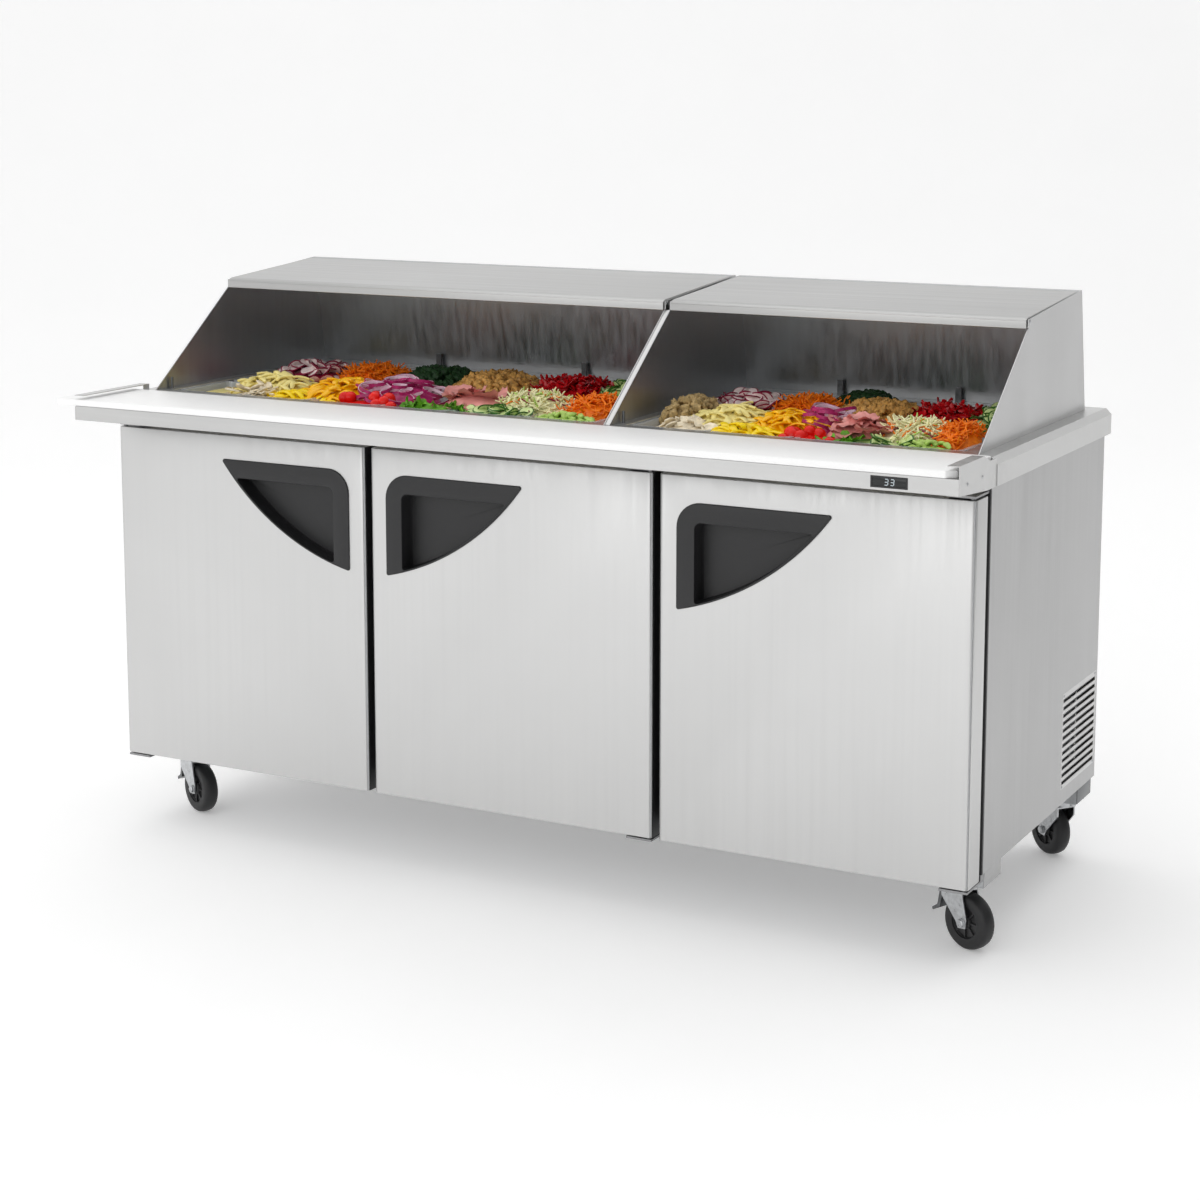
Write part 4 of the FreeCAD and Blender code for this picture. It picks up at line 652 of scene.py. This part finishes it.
def louvred(name, node_name, rows, spans, axis, mat):
    """A pressed panel: a flat sheet with a curved blade behind each of its slots."""
    low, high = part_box(node_name)
    pile = Pile()

    def put(u, v, depth):
        return (low.x + depth, u, v) if axis == "x" else (u, low.y + depth, v)

    def strip(u0, u1, v0, v1):
        rim = rectangle(u0, u1, v0, v1, 0.0002, 1)
        pile.add(loft([[put(p.x, p.y, 0) for p in rim], [put(p.x, p.y, SHEET) for p in rim]]))

    u_low, u_high = (low.y, high.y) if axis == "x" else (low.x, high.x)
    heights = [low.z]
    for v0, v1 in rows:
        heights += [v0, v1]
    heights.append(high.z)
    for k in range(0, len(heights), 2):
        strip(u_low, u_high, heights[k], heights[k + 1])
    for v0, v1 in rows:
        edges = [u_low] + [u for span in spans for u in span] + [u_high]
        for k in range(0, len(edges), 2):
            strip(edges[k], edges[k + 1], v0, v1)
        for u0, u1 in spans:
            arc = [(v1 - 0.0006 - (v1 - v0 + 0.001) * t, 0.001 - BLADE_DEEP * math.sin(t * BLADE_TURN))
                   for t in (k / 6 for k in range(7))]
            blade = [[put(u, v, d) for v, d in arc]
                     + [put(u, v, d + BLADE_THICK) for v, d in reversed(arc)] for u in (u0, u1)]
            pile.add(loft(blade))
    pile.finish(name, [mat], "cabinet", [node_name], 30)


low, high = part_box("side_louvre_panel")
louvred("side_louvres", "side_louvre_panel", slots_from(0.196), [(low.y + 0.005, high.y - 0.006)],
        "x", "door")
starts = [0.393 + 0.175 * k for k in range(3)]
louvred("rear_louvres", "rear_grille", slots_from(0.188), [(u, u + 0.150) for u in starts],
        "y", "panel")


# ---------------------------------------------------------------- pans
def pan_shape(low, high):
    """The inside of a food pan, with its rolled rim and the short skirt under the rim."""
    def ring(drawn, z, radius):
        outline = rectangle(low.x + drawn, high.x - drawn, low.y + drawn, high.y - drawn, radius)
        return [(p.x, p.y, z) for p in outline]

    top, bottom = high.z, low.z
    return loft([ring(0.0105, top - 0.012, 0.012), ring(0.0072, top - 0.002, 0.014),
                 ring(0.0006, top - 0.002, 0.018), ring(0, top - 0.0012, 0.018),
                 ring(0.0006, top, 0.018), ring(0.0085, top, 0.014), ring(0.0095, top - 0.0015, 0.013),
                 ring(0.011, top - 0.02, 0.013), ring(0.014, bottom + 0.012, 0.013),
                 ring(0.018, bottom + 0.003, 0.012), ring(0.024, bottom + 0.002, 0.01)])


PAN_BOXES = loose_parts("food_pans")
pans = Pile()
for low, high in PAN_BOXES:
    verts, faces = pan_shape(low, high)
    del faces[-2]  # the cap that would close the skirt
    pans.add((verts, faces))
pans.finish("pans", ["pan"], "cabinet", ["food_pans"], 40)


# ---------------------------------------------------------------- food
rng = random.Random(11)
FOOD_TOP = 0.9320
REAR_ROW_Y, FRONT_ROW_Y, LEFT_PAN_X = 0.24, -0.14, -0.75


def food_mat(name, colour, roughness=0.5, spread=0.25, scale=90, bump=0.3, **sockets):
    """A moist, only faintly shiny surface."""
    sockets.setdefault("Specular_IOR_Level", 0.3)
    return plain(name, colour, roughness, 0, scale, spread, bump, **sockets)


FOOD = {
    "mushroom": food_mat("mushroom_flesh", (0.80, 0.70, 0.52)),
    "tan": food_mat("seeded_bread", (0.46, 0.33, 0.15), 0.7, 0.4, 140, 0.6),
    "cheese": food_mat("pale_pepper", (0.86, 0.74, 0.28), 0.35, 0.12),
    "yellow": food_mat("yellow_pepper", (1.0, 0.68, 0.002), 0.3, 0.10, Coat_Weight=0.1),
    "orange": food_mat("orange_pepper", (1.0, 0.50, 0.002), 0.3, 0.10, Coat_Weight=0.1),
    "carrot": food_mat("carrot", (1.0, 0.20, 0.003), 0.42, 0.25),
    "tomato": food_mat("tomato", (0.72, 0.010, 0.006), 0.16, 0.15, 30, 0.03,
                       Specular_IOR_Level=0.25),
    "onion": food_mat("onion_skin", (0.40, 0.02, 0.13), 0.3, 0.3),
    "onion_flesh": food_mat("onion_flesh", (0.84, 0.66, 0.76), 0.3, 0.15),
    "radish": food_mat("radish_skin", (0.26, 0.012, 0.05), 0.3, 0.3),
    "radish_flesh": food_mat("radish_flesh", (0.84, 0.70, 0.68), 0.35, 0.15),
    "broccoli": food_mat("broccoli", (0.012, 0.045, 0.012), 0.6, 0.5, 260, 0.9),
    "lettuce": food_mat("lettuce", (0.13, 0.36, 0.02), 0.4, 0.4, 60, 0.5),
    "ham": food_mat("ham", (0.72, 0.30, 0.27), 0.35, 0.2, 40),
    "walnut": food_mat("walnut", (0.56, 0.30, 0.08), 0.55, 0.45, 160, 0.9),
    "slaw": food_mat("slaw", (0.88, 0.83, 0.50), 0.45, 0.2),
    "beet": food_mat("beet", (0.46, 0.004, 0.008), 0.25, 0.35, Coat_Weight=0.15),
    "cucumber": food_mat("cucumber_flesh", (0.58, 0.70, 0.30), 0.3, 0.15),
    "cucumber_skin": food_mat("cucumber_skin", (0.035, 0.13, 0.015), 0.35, 0.4),
    "celery": food_mat("celery", (0.42, 0.60, 0.14), 0.35, 0.2),
}


def disc(radius, thick, wavy=0.0, sides=16):
    """A slice, as three shapes: its face, its rounded rind and its back."""
    lift = [wavy * math.sin(3 * a + 1) for a in (2 * math.pi * k / sides for k in range(sides))]

    def ring(r, z):
        return [(r * math.cos(2 * math.pi * k / sides), r * math.sin(2 * math.pi * k / sides),
                 z + lift[k] * r / radius) for k in range(sides)]
    flesh = loft([ring(radius * 0.05, thick), ring(radius * 0.88, thick)], caps=False)
    flesh[1].append(tuple(range(sides)))
    under = loft([ring(radius * 0.88, 0), ring(radius * 0.05, 0)], caps=False)
    rind = loft([ring(radius * 0.88, thick), ring(radius, thick * 0.5), ring(radius * 0.88, 0)],
                caps=False)
    return flesh, rind, under


def hoop(radius, thick, tall):
    """One ring of a sliced onion."""
    profile = [(radius - thick, 0), (radius, 0), (radius, tall), (radius - thick, tall)]
    return lathe(profile, 22, wrap=True)


def strip_piece(length, width, thick, bend, twist=0.0):
    """A curved sliver with a rounded cross-section."""
    loops = []
    for k in range(7):
        t = k / 6 - 0.5
        a = bend * t
        centre = Vector((length * t, 0, -length * bend * t * t * 0.6))
        grow = 0.55 + 0.45 * math.cos(math.pi * t) ** 0.5 if abs(t) < 0.499 else 0.5
        turn = Matrix.Rotation(a, 3, "Y") @ Matrix.Rotation(twist * t, 3, "X")
        loops.append([centre + turn @ Vector((0, y * width * grow / 2, z * thick / 2))
                      for y, z in ((-1, -0.4), (-0.6, -1), (0.6, -1), (1, -0.4), (1, 0.4), (0.6, 1),
                                   (-0.6, 1), (-1, 0.4))])
    return loft(loops)


def lump(radius, rough, flat=1.0, rings=7, sides=10):
    """An irregular rounded piece."""
    loops = []
    phase = rng.uniform(0, 6)
    for i in range(1, rings):
        b = math.pi * i / rings
        loop = []
        for k in range(sides):
            a = 2 * math.pi * k / sides
            r = radius * (1 + rough * math.sin(3 * a + phase + 4 * b) + rough * rng.uniform(-1, 1))
            loop.append((r * math.sin(b) * math.cos(a), r * math.sin(b) * math.sin(a),
                         -r * math.cos(b) * flat))
        loops.append(loop)
    return loft(loops)


def leaf(length, width, curl):
    """A ruffled leaf: a sheet, and its underside just below."""
    top = []
    for i in range(9):
        t = i / 8
        wide = width * math.sin(math.pi * min(0.97, t + 0.06)) ** 0.6
        top.append([(length * (t - 0.5), wide * (j / 6 - 0.5),
                     curl * math.sin(6 * t + 1.5) + abs(j - 3) / 3 * curl * math.sin(14 * t + j))
                    for j in range(7)])
    verts, faces = loft(top, closed=False, caps=False)
    thick = [Vector((v.x, v.y, v.z - 0.0007)) for v in verts]
    n = len(verts)
    return verts + thick, faces + [tuple(reversed([n + k for k in f])) for f in faces]


def mushroom_slice():
    """A slice of a mushroom: a cap over a stem."""
    s = rng.uniform(0.9, 1.25) * 0.019
    shape = [(-1, 0), (-0.85, 0.55), (-0.4, 0.9), (0, 1), (0.4, 0.9), (0.85, 0.55), (1, 0),
             (0.75, -0.12), (0.28, -0.1), (0.25, -0.75), (-0.25, -0.75), (-0.28, -0.1),
             (-0.75, -0.12)]
    return solid([Vector((x * s, y * s)) for x, y in shape], 0, 0.0032, "z", 0.0006)


def place_on(spot, tilt):
    """A random turn about +Z over a random tilt, at a spot."""
    lean_x = Matrix.Rotation(rng.uniform(-tilt, tilt), 4, "X")
    lean = lean_x @ Matrix.Rotation(rng.uniform(-tilt, tilt), 4, "Y")
    return Matrix.Translation(spot) @ Matrix.Rotation(rng.uniform(0, 2 * math.pi), 4, "Z") @ lean


def piece_of(kind):
    """One piece of a food, as (shape, material name) pairs, with its tilt."""
    if kind in ("radish", "cucumber"):
        radius = rng.uniform(0.014, 0.019) if kind == "radish" else rng.uniform(0.016, 0.021)
        flesh, rind, under = disc(radius, 0.003, 0.0008)
        inner, outer = {"radish": ("radish_flesh", "radish"),
                        "cucumber": ("cucumber", "cucumber_skin")}[kind]
        return [(flesh, inner), (rind, outer), (under, inner)], 0.9
    if kind == "onion":
        size = rng.uniform(0.014, 0.036)
        return [(hoop(size, 0.0007, 0.006), "onion"),
                (hoop(size - 0.0007, 0.0012, 0.0058), "onion_flesh")], 0.35
    if kind == "mushroom":
        return [(mushroom_slice(), "mushroom")], 0.7
    if kind in ("yellow", "orange", "cheese"):
        return [(strip_piece(rng.uniform(0.040, 0.062), rng.uniform(0.010, 0.014), 0.0045,
                             rng.uniform(0.8, 2.0), rng.uniform(-0.5, 0.5)), kind)], 0.4
    if kind in ("carrot", "beet", "slaw"):
        tone = kind
        if kind == "slaw" and rng.random() < 0.16:
            tone = rng.choice(("carrot", "radish", "celery"))
        wide = 0.010 if kind == "beet" else 0.0040
        return [(strip_piece(rng.uniform(0.022, 0.042), wide, 0.0024, rng.uniform(-2.2, 2.2),
                             rng.uniform(-2, 2)), tone)], 0.7
    if kind == "tomato":
        return [(lump(rng.uniform(0.0125, 0.0145), 0.008, 0.95, 10, 16), "tomato")], 3.0
    if kind == "broccoli":
        return [(lump(rng.uniform(0.006, 0.012), 0.16, 0.9), "broccoli")], 3.0
    if kind in ("walnut", "tan"):
        size = rng.uniform(0.008, 0.014) if kind == "walnut" else rng.uniform(0.006, 0.010)
        return [(lump(size, 0.2, rng.uniform(0.5, 0.9), 6, 8), kind)], 3.0
    if kind == "ham":
        return [(leaf(rng.uniform(0.055, 0.075), rng.uniform(0.045, 0.06), 0.003), "ham")], 0.4
    if kind == "lettuce":
        return [(leaf(rng.uniform(0.03, 0.045), rng.uniform(0.02, 0.03), 0.004), "lettuce")], 0.8
    return [(strip_piece(rng.uniform(0.014, 0.022), 0.010, 0.0055, rng.uniform(1.0, 2.4)),
             "celery")], 0.6


# pieces in a heap of PATCH square metres, half-width times half-depth
PATCH = 0.0056
COUNTS = {"onion": 34, "tomato": 26, "broccoli": 150, "carrot": 230, "beet": 150, "slaw": 230,
          "walnut": 120, "tan": 130, "ham": 22, "lettuce": 50, "yellow": 60, "orange": 60,
          "cheese": 66, "mushroom": 46, "radish": 60, "cucumber": 80, "celery": 140}
# food, centre X, centre Y, half-width, half-depth of each heap
HEAPS = [
    ("tan", -0.765, -0.02, 0.075, 0.11), ("mushroom", -0.660, -0.16, 0.060, 0.035),
    ("cheese", -0.665, -0.075, 0.085, 0.07), ("radish", -0.690, 0.105, 0.085, 0.08),
    ("yellow", -0.545, -0.155, 0.085, 0.05), ("orange", -0.490, -0.09, 0.080, 0.08),
    ("carrot", -0.555, 0.13, 0.085, 0.085), ("tomato", -0.385, -0.16, 0.075, 0.04),
    ("onion", -0.365, -0.07, 0.085, 0.08), ("broccoli", -0.400, 0.14, 0.095, 0.09),
    ("lettuce", -0.225, -0.17, 0.09, 0.035), ("ham", -0.165, -0.10, 0.08, 0.06),
    ("walnut", -0.245, 0.12, 0.095, 0.10), ("cucumber", -0.075, -0.175, 0.08, 0.03),
    ("slaw", -0.040, -0.085, 0.085, 0.075), ("beet", -0.080, 0.135, 0.095, 0.095),
    ("celery", 0.075, -0.178, 0.065, 0.028), ("carrot", 0.090, -0.075, 0.062, 0.075),
    ("cucumber", 0.070, 0.13, 0.07, 0.09), ("cheese", -0.80, 0.25, 0.035, 0.07),
    ("mushroom", -0.66, 0.265, 0.09, 0.06), ("tan", -0.50, 0.265, 0.09, 0.06),
    ("lettuce", -0.33, 0.27, 0.08, 0.06), ("tomato", -0.17, 0.27, 0.08, 0.055),
    ("slaw", 0.0, 0.27, 0.08, 0.06), ("celery", 0.11, 0.27, 0.035, 0.055),
    ("tan", 0.255, -0.01, 0.045, 0.10), ("mushroom", 0.315, -0.16, 0.060, 0.035),
    ("cheese", 0.375, -0.075, 0.08, 0.07), ("radish", 0.330, 0.10, 0.075, 0.08),
    ("yellow", 0.435, -0.158, 0.075, 0.045), ("orange", 0.490, -0.085, 0.075, 0.07),
    ("carrot", 0.450, 0.11, 0.08, 0.085), ("tomato", 0.560, -0.165, 0.065, 0.038),
    ("onion", 0.555, -0.045, 0.055, 0.065), ("broccoli", 0.530, 0.20, 0.07, 0.08),
    ("lettuce", 0.635, -0.178, 0.05, 0.028), ("ham", 0.640, -0.10, 0.07, 0.06),
    ("walnut", 0.600, 0.10, 0.085, 0.085), ("cucumber", 0.715, -0.178, 0.05, 0.028),
    ("slaw", 0.735, -0.08, 0.075, 0.075), ("beet", 0.725, 0.12, 0.08, 0.09),
    ("celery", 0.800, -0.180, 0.05, 0.026), ("carrot", 0.825, -0.09, 0.045, 0.075),
    ("cucumber", 0.825, 0.13, 0.045, 0.09), ("mushroom", 0.30, 0.27, 0.08, 0.055),
    ("tan", 0.44, 0.27, 0.06, 0.055), ("lettuce", 0.64, 0.27, 0.08, 0.05),
    ("tomato", 0.79, 0.27, 0.07, 0.05),
]
FOOD_NAMES = list(FOOD)
LOW_Y, HIGH_Y = -0.196, 0.335


def well_span(x):
    """The left and right limit of the food in the well that a place is over."""
    return (-0.823, 0.141) if x < 0.18 else (0.224, 0.862)


def less_full(x, y):
    """Whether a place is over the rear row of pans or the left pan."""
    return y > REAR_ROW_Y or x < LEFT_PAN_X


def ceiling(y):
    """Highest level of the food, kept under the closed lids."""
    return min(FOOD_TOP, 0.872 + (y + 0.227) * 0.766)


def heap_height(u, v):
    """Height share of a heap's dome at -1..1 across its two half-sizes."""
    return max(0.0, 1 - (u * u + v * v)) ** 0.6


food = Pile()
for kind, cx, cy, rx, ry in HEAPS:
    # the body of the heap, under the loose pieces
    if less_full(cx, cy):
        tall, base = 0.010, 0.858
    elif cy < FRONT_ROW_Y:
        tall, base = 0.013, 0.880
    else:
        tall, base = 0.034, 0.879
    loops = []
    for i in range(9):
        share = 1 - i / 8 * 0.97
        lift = heap_height(share, 0) * tall
        loops.append([(cx + rx * share * math.cos(a), cy + ry * share * math.sin(a),
                       base + lift + rng.uniform(0, 0.002))
                      for a in (math.pi * k / 12 for k in range(24))])
    edge_low, edge_high = well_span(cx)
    loops = [[(min(max(x, edge_low), edge_high), min(max(y, LOW_Y), HIGH_Y), z) for x, y, z in loop]
             for loop in loops]
    food.add(loft(loops), FOOD_NAMES.index(kind))
    for _ in range(int(COUNTS[kind] * rx * ry / PATCH)):
        a, r = rng.uniform(0, 2 * math.pi), math.sqrt(rng.random())
        u, v = r * math.cos(a), r * math.sin(a)
        shapes, tilt = piece_of(kind)
        top = base + 0.003 + heap_height(u, v) * (tall + 0.006) + rng.uniform(0, 0.003)
        matrix = place_on(Vector((cx + rx * u, cy + ry * v, top)), tilt)
        placed = [([matrix @ Vector(p) for p in verts], faces, tone)
                  for (verts, faces), tone in shapes]
        # pushed back inside the well and under the lid
        every = [p for verts, _, _ in placed for p in verts]
        least = [min(p[k] for p in every) for k in range(3)]
        most = [max(p[k] for p in every) for k in range(3)]
        shift = Vector((max(0, edge_low - least[0]) - max(0, most[0] - edge_high),
                        max(0, LOW_Y - least[1]) - max(0, most[1] - HIGH_Y),
                        -max(0, most[2] - ceiling(least[1]))))
        for verts, faces, tone in placed:
            food.add(([p + shift for p in verts], faces), FOOD_NAMES.index(tone))
# a bed of food in every pan
BED_GAP = 0.0125
for low, high in PAN_BOXES:
    middle = (low + high) / 2
    nearest = min(HEAPS, key=lambda h: (h[1] - middle.x) ** 2 + (h[2] - middle.y) ** 2)
    level = 0.862 if less_full(middle.x, middle.y) else 0.882
    food.add(brick((low.x + BED_GAP, high.x - BED_GAP), (low.y + BED_GAP, high.y - BED_GAP),
                   (low.z + 0.006, level), 0.012, 0.003), FOOD_NAMES.index(nearest[0]))
food.finish("food", [FOOD[n] for n in FOOD_NAMES], "cabinet", ["food_fill"], 45)


# ---------------------------------------------------------------- wire shelves
FRAME_WIRE, CROSS_WIRE, RACK_WIRE = 0.003, 0.0028, 0.0016
WIRE_PITCH, CROSS_INSET = 0.022, 0.12
wires = Pile()
for low, high in loose_parts("wire_shelves"):
    z = (low.z + high.z) / 2
    y0, y1 = low.y + 0.004, high.y - 0.004
    x0, x1 = low.x + 0.003, high.x - 0.003
    frame_line = rectangle(x0, x1, y0, y1, 0.008, 4)
    wires.add(tube([(p.x, p.y, z) for p in frame_line + frame_line[:1]], FRAME_WIRE))
    for y in (y0 + CROSS_INSET, y1 - CROSS_INSET):
        wires.add(tube([(x0, y, z - 0.003), (x1, y, z - 0.003)], CROSS_WIRE))
    count = int((x1 - x0) / WIRE_PITCH)
    for k in range(1, count):
        x = x0 + (x1 - x0) * k / count
        wires.add(tube([(x, y0, high.z - 0.006), (x, y0 + 0.004, high.z - 0.002),
                        (x, y1 - 0.004, high.z - 0.002), (x, y1, high.z - 0.006)], RACK_WIRE, 6))
wires.finish("wire_racks", ["wire"], "cabinet", ["wire_shelves"], 50)


# ---------------------------------------------------------------- channel caps and counter trim
CHANNEL_HALF = 0.045
low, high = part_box("base_channels")
# the rear caps take the dark pedal metal as painted shade under the cabinet's rear; the front caps are
# in panel steel
ends = ((high.y - CHANNEL_HALF, "pedal", "zinc"), (low.y + CHANNEL_HALF, "panel", "brushed_steel"))
for k, (y, mat, slot) in enumerate(ends):
    caps = Pile()
    for x0, x1 in ((low.x - SHEET, low.x), (high.x, high.x + SHEET)):
        caps.add(brick((x0, x1), (y - CHANNEL_HALF + 0.0005, y + CHANNEL_HALF - 0.0005),
                       (low.z + 0.0005, high.z - 0.0005), 0.0004, 0.0003))
    caps.finish(f"channel_caps_{k}", [mat], "cabinet", (), 30)

# ends of the counter's side bands, and the strip that closes the slit between the hoods
trim = Pile()
deck_low, deck_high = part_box("counter_top")
for x, side in ((deck_low.x, 1), (deck_high.x, -1)):
    outline = [Vector((x + side * a, z)) for a, z in
               ((0.0006, 0.8466), (0.0006, 0.8836), (0.0114, 0.8944), (0.0114, 0.8466))]
    trim.add(solid(outline, deck_high.y - 0.0017, deck_high.y - 0.0001, "y", 0.0003))
edge = [Vector(p) for p in ((-0.2254, 0.8955), (0.0240, 1.0866), (0.0240, 1.0720), (-0.2070, 0.8955))]
slit = (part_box("hood_left")[1].x + 0.0002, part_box("hood_right")[0].x - 0.0002)
trim.add(solid(edge, *slit, "x", 0.0004))
trim.finish("counter_trim", ["deck"], "cabinet", (), 30)


# ---------------------------------------------------------------- casters
# sections through a wheel, as (radius, distance from its middle plane)
TREAD = [(0.0295, -0.0105), (0.0300, -0.0145), (0.0410, -0.0155), (0.0465, -0.0140),
         (0.0495, -0.0105), (0.0508, -0.0050), (0.0510, 0.0), (0.0508, 0.0050), (0.0495, 0.0105),
         (0.0465, 0.0140), (0.0410, 0.0155), (0.0300, 0.0145), (0.0295, 0.0105)]
CORE = [(0.0055, -0.0155), (0.0120, -0.0155), (0.0128, -0.0145), (0.0135, -0.0085),
        (0.0275, -0.0085), (0.0297, -0.0125), (0.0297, 0.0125), (0.0275, 0.0085), (0.0135, 0.0085),
        (0.0128, 0.0145), (0.0120, 0.0155), (0.0055, 0.0155)]
RIB = [Vector(p) for p in ((0.013, -0.0012), (0.028, -0.0012), (0.028, 0.0012), (0.013, 0.0012))]
RIBS = 8
WASHER = [(0.0, 0.0), (0.0085, 0.0), (0.0088, 0.0004), (0.0085, 0.0009), (0.0, 0.0009)]
NUT = [(0.0, 0.0), (0.0074, 0.0), (0.0074, 0.0034), (0.0064, 0.0042), (0.0036, 0.0042),
       (0.0030, 0.0050), (0.0, 0.0050)]
NUT_SEAT = 0.0212
# section through the ball race, as (radius, height over the floor)
RACE = [(0.020, 0.1095), (0.0262, 0.1095), (0.0275, 0.1125), (0.0290, 0.1165), (0.0290, 0.1190),
        (0.020, 0.1190)]

for caster in CASTERS:
    spin = JOINTS[f"{caster}_wheel_spin"]
    hub, axle = Vector(spin["pos_m"]), Vector(spin["axis"])
    stand = pointing(axle, hub)
    tyre = Pile()
    tyre.add(lathe(TREAD, 56, wrap=True), 0, stand)
    tyre.add(lathe(CORE, 56, wrap=True), 1, stand)
    for face in (-1, 1):
        flip = Matrix.Rotation(math.pi if face < 0 else 0, 4, "X")
        for k in range(RIBS):
            spoke = Matrix.Rotation(2 * math.pi * k / RIBS, 4, "Z")
            tyre.add(solid(RIB, 0.0080, 0.0125, "z", 0.0004), 1, stand @ spoke @ flip)
    tyre.finish(f"wheel_{caster}_tyre", ["rubber", "hub"], f"wheel_{caster}",
                [f"caster_wheel_{caster}"], 35)
    # hexagon nut and washer on both ends of the axle bolt
    nuts = Pile()
    for face in (-1, 1):
        seat = hub + axle * face * NUT_SEAT
        nuts.add(lathe(WASHER, 24), 0, pointing(axle * face, seat))
        nuts.add(lathe(NUT, 6), 0, pointing(axle * face, seat + axle * face * 0.0009))
    nuts.finish(f"axle_nuts_{caster}", ["zinc"], f"caster_{caster}", (), 25)
    # ball race under the top plate
    pivot = Vector(JOINTS[f"{caster}_swivel"]["pos_m"])
    race = Pile()
    race.add(lathe(RACE, 40, wrap=True), 0, Matrix.Translation(Vector((pivot.x, pivot.y, 0))))
    race.finish(f"ball_race_{caster}", ["zinc"], f"caster_{caster}", (), 30)


# ---------------------------------------------------------------- stage, light and camera
floor_mat = plain("floor", (0.94, 0.94, 0.94), 0.75, 0, 3, 0.006, 0.0, Emission_Strength=0.20)
floor_mat.node_tree.nodes["Principled BSDF"].inputs["Emission Color"].default_value = (1, 1, 1, 1)
# the floor's section, as (Y, Z): it runs back, curves up and ends as a wall
BEND_Y, BEND_RADIUS = 4.0, 3
bend = [(BEND_Y + BEND_RADIUS * math.sin(a), BEND_RADIUS - BEND_RADIUS * math.cos(a))
        for a in (math.pi / 2 * k / 10 for k in range(1, 11))]
section = [(-9.0, 0.0), (BEND_Y, 0.0)] + bend + [(BEND_Y + BEND_RADIUS, 9.0)]
mesh = mesh_of("floor", loft([[(-12, y, z), (12, y, z)] for y, z in section], closed=False,
                             caps=False))
mesh.shade_smooth()
mesh.materials.append(floor_mat)
floor = in_scene("floor", mesh)
floor.matrix_world = Matrix.Rotation(math.radians(28), 4, "Z") @ Matrix.Translation((0, 0, -0.0005))


def softbox(name, place, target, size, power):
    """A white area light at a place, turned to its target."""
    data = bpy.data.lights.new(name, "AREA")
    data.shape = "RECTANGLE"
    data.size, data.size_y = size
    data.energy = power
    lamp = in_scene(name, data)
    lamp.location = place
    lamp.rotation_euler = (Vector(target) - Vector(place)).to_track_quat("-Z", "Y").to_euler()


softbox("key", (-0.6, -6.5, 3.0), (0, -0.3, 0.5), (7.0, 3.6), 66)
softbox("top", (0.0, 0.4, 4.6), (0, 0, 0.6), (5.5, 4.0), 30)

# the room is bright in front and on the left, and dimmer on the right: the strength falls as the
# direction's X share rises over the span
FADE_SPAN, FADE_STRENGTH = (0.05, 0.9), (0.95, 0.20)
world = bpy.data.worlds.new("studio")
bpy.context.scene.world = world
world.use_nodes = True
sky = world.node_tree
towards = sky.nodes.new("ShaderNodeSeparateXYZ")
sky.links.new(sky.nodes.new("ShaderNodeTexCoord").outputs["Generated"], towards.inputs[0])
fade = sky.nodes.new("ShaderNodeMapRange")
for index, number in enumerate(FADE_SPAN + FADE_STRENGTH):
    fade.inputs[index + 1].default_value = number
sky.links.new(towards.outputs["X"], fade.inputs[0])
sky.links.new(fade.outputs["Result"], sky.nodes["Background"].inputs["Strength"])
sky.nodes["Background"].inputs["Color"].default_value = (1, 1, 1, 1)

CAMERA_PLACE = (2.2266, -4.0764, 1.5428)
CAMERA_DOWN, CAMERA_TURN = 8.331, 28.082
lens_data = bpy.data.cameras.new("camera")
lens_data.lens = 71.6
lens_data.sensor_width = 36
lens_data.shift_y = -0.15
camera = in_scene("camera", lens_data)
camera.location = CAMERA_PLACE
camera.rotation_euler = (math.radians(90 - CAMERA_DOWN), 0, math.radians(CAMERA_TURN))
bpy.context.scene.camera = camera
bpy.context.scene.view_settings.view_transform = "Standard"
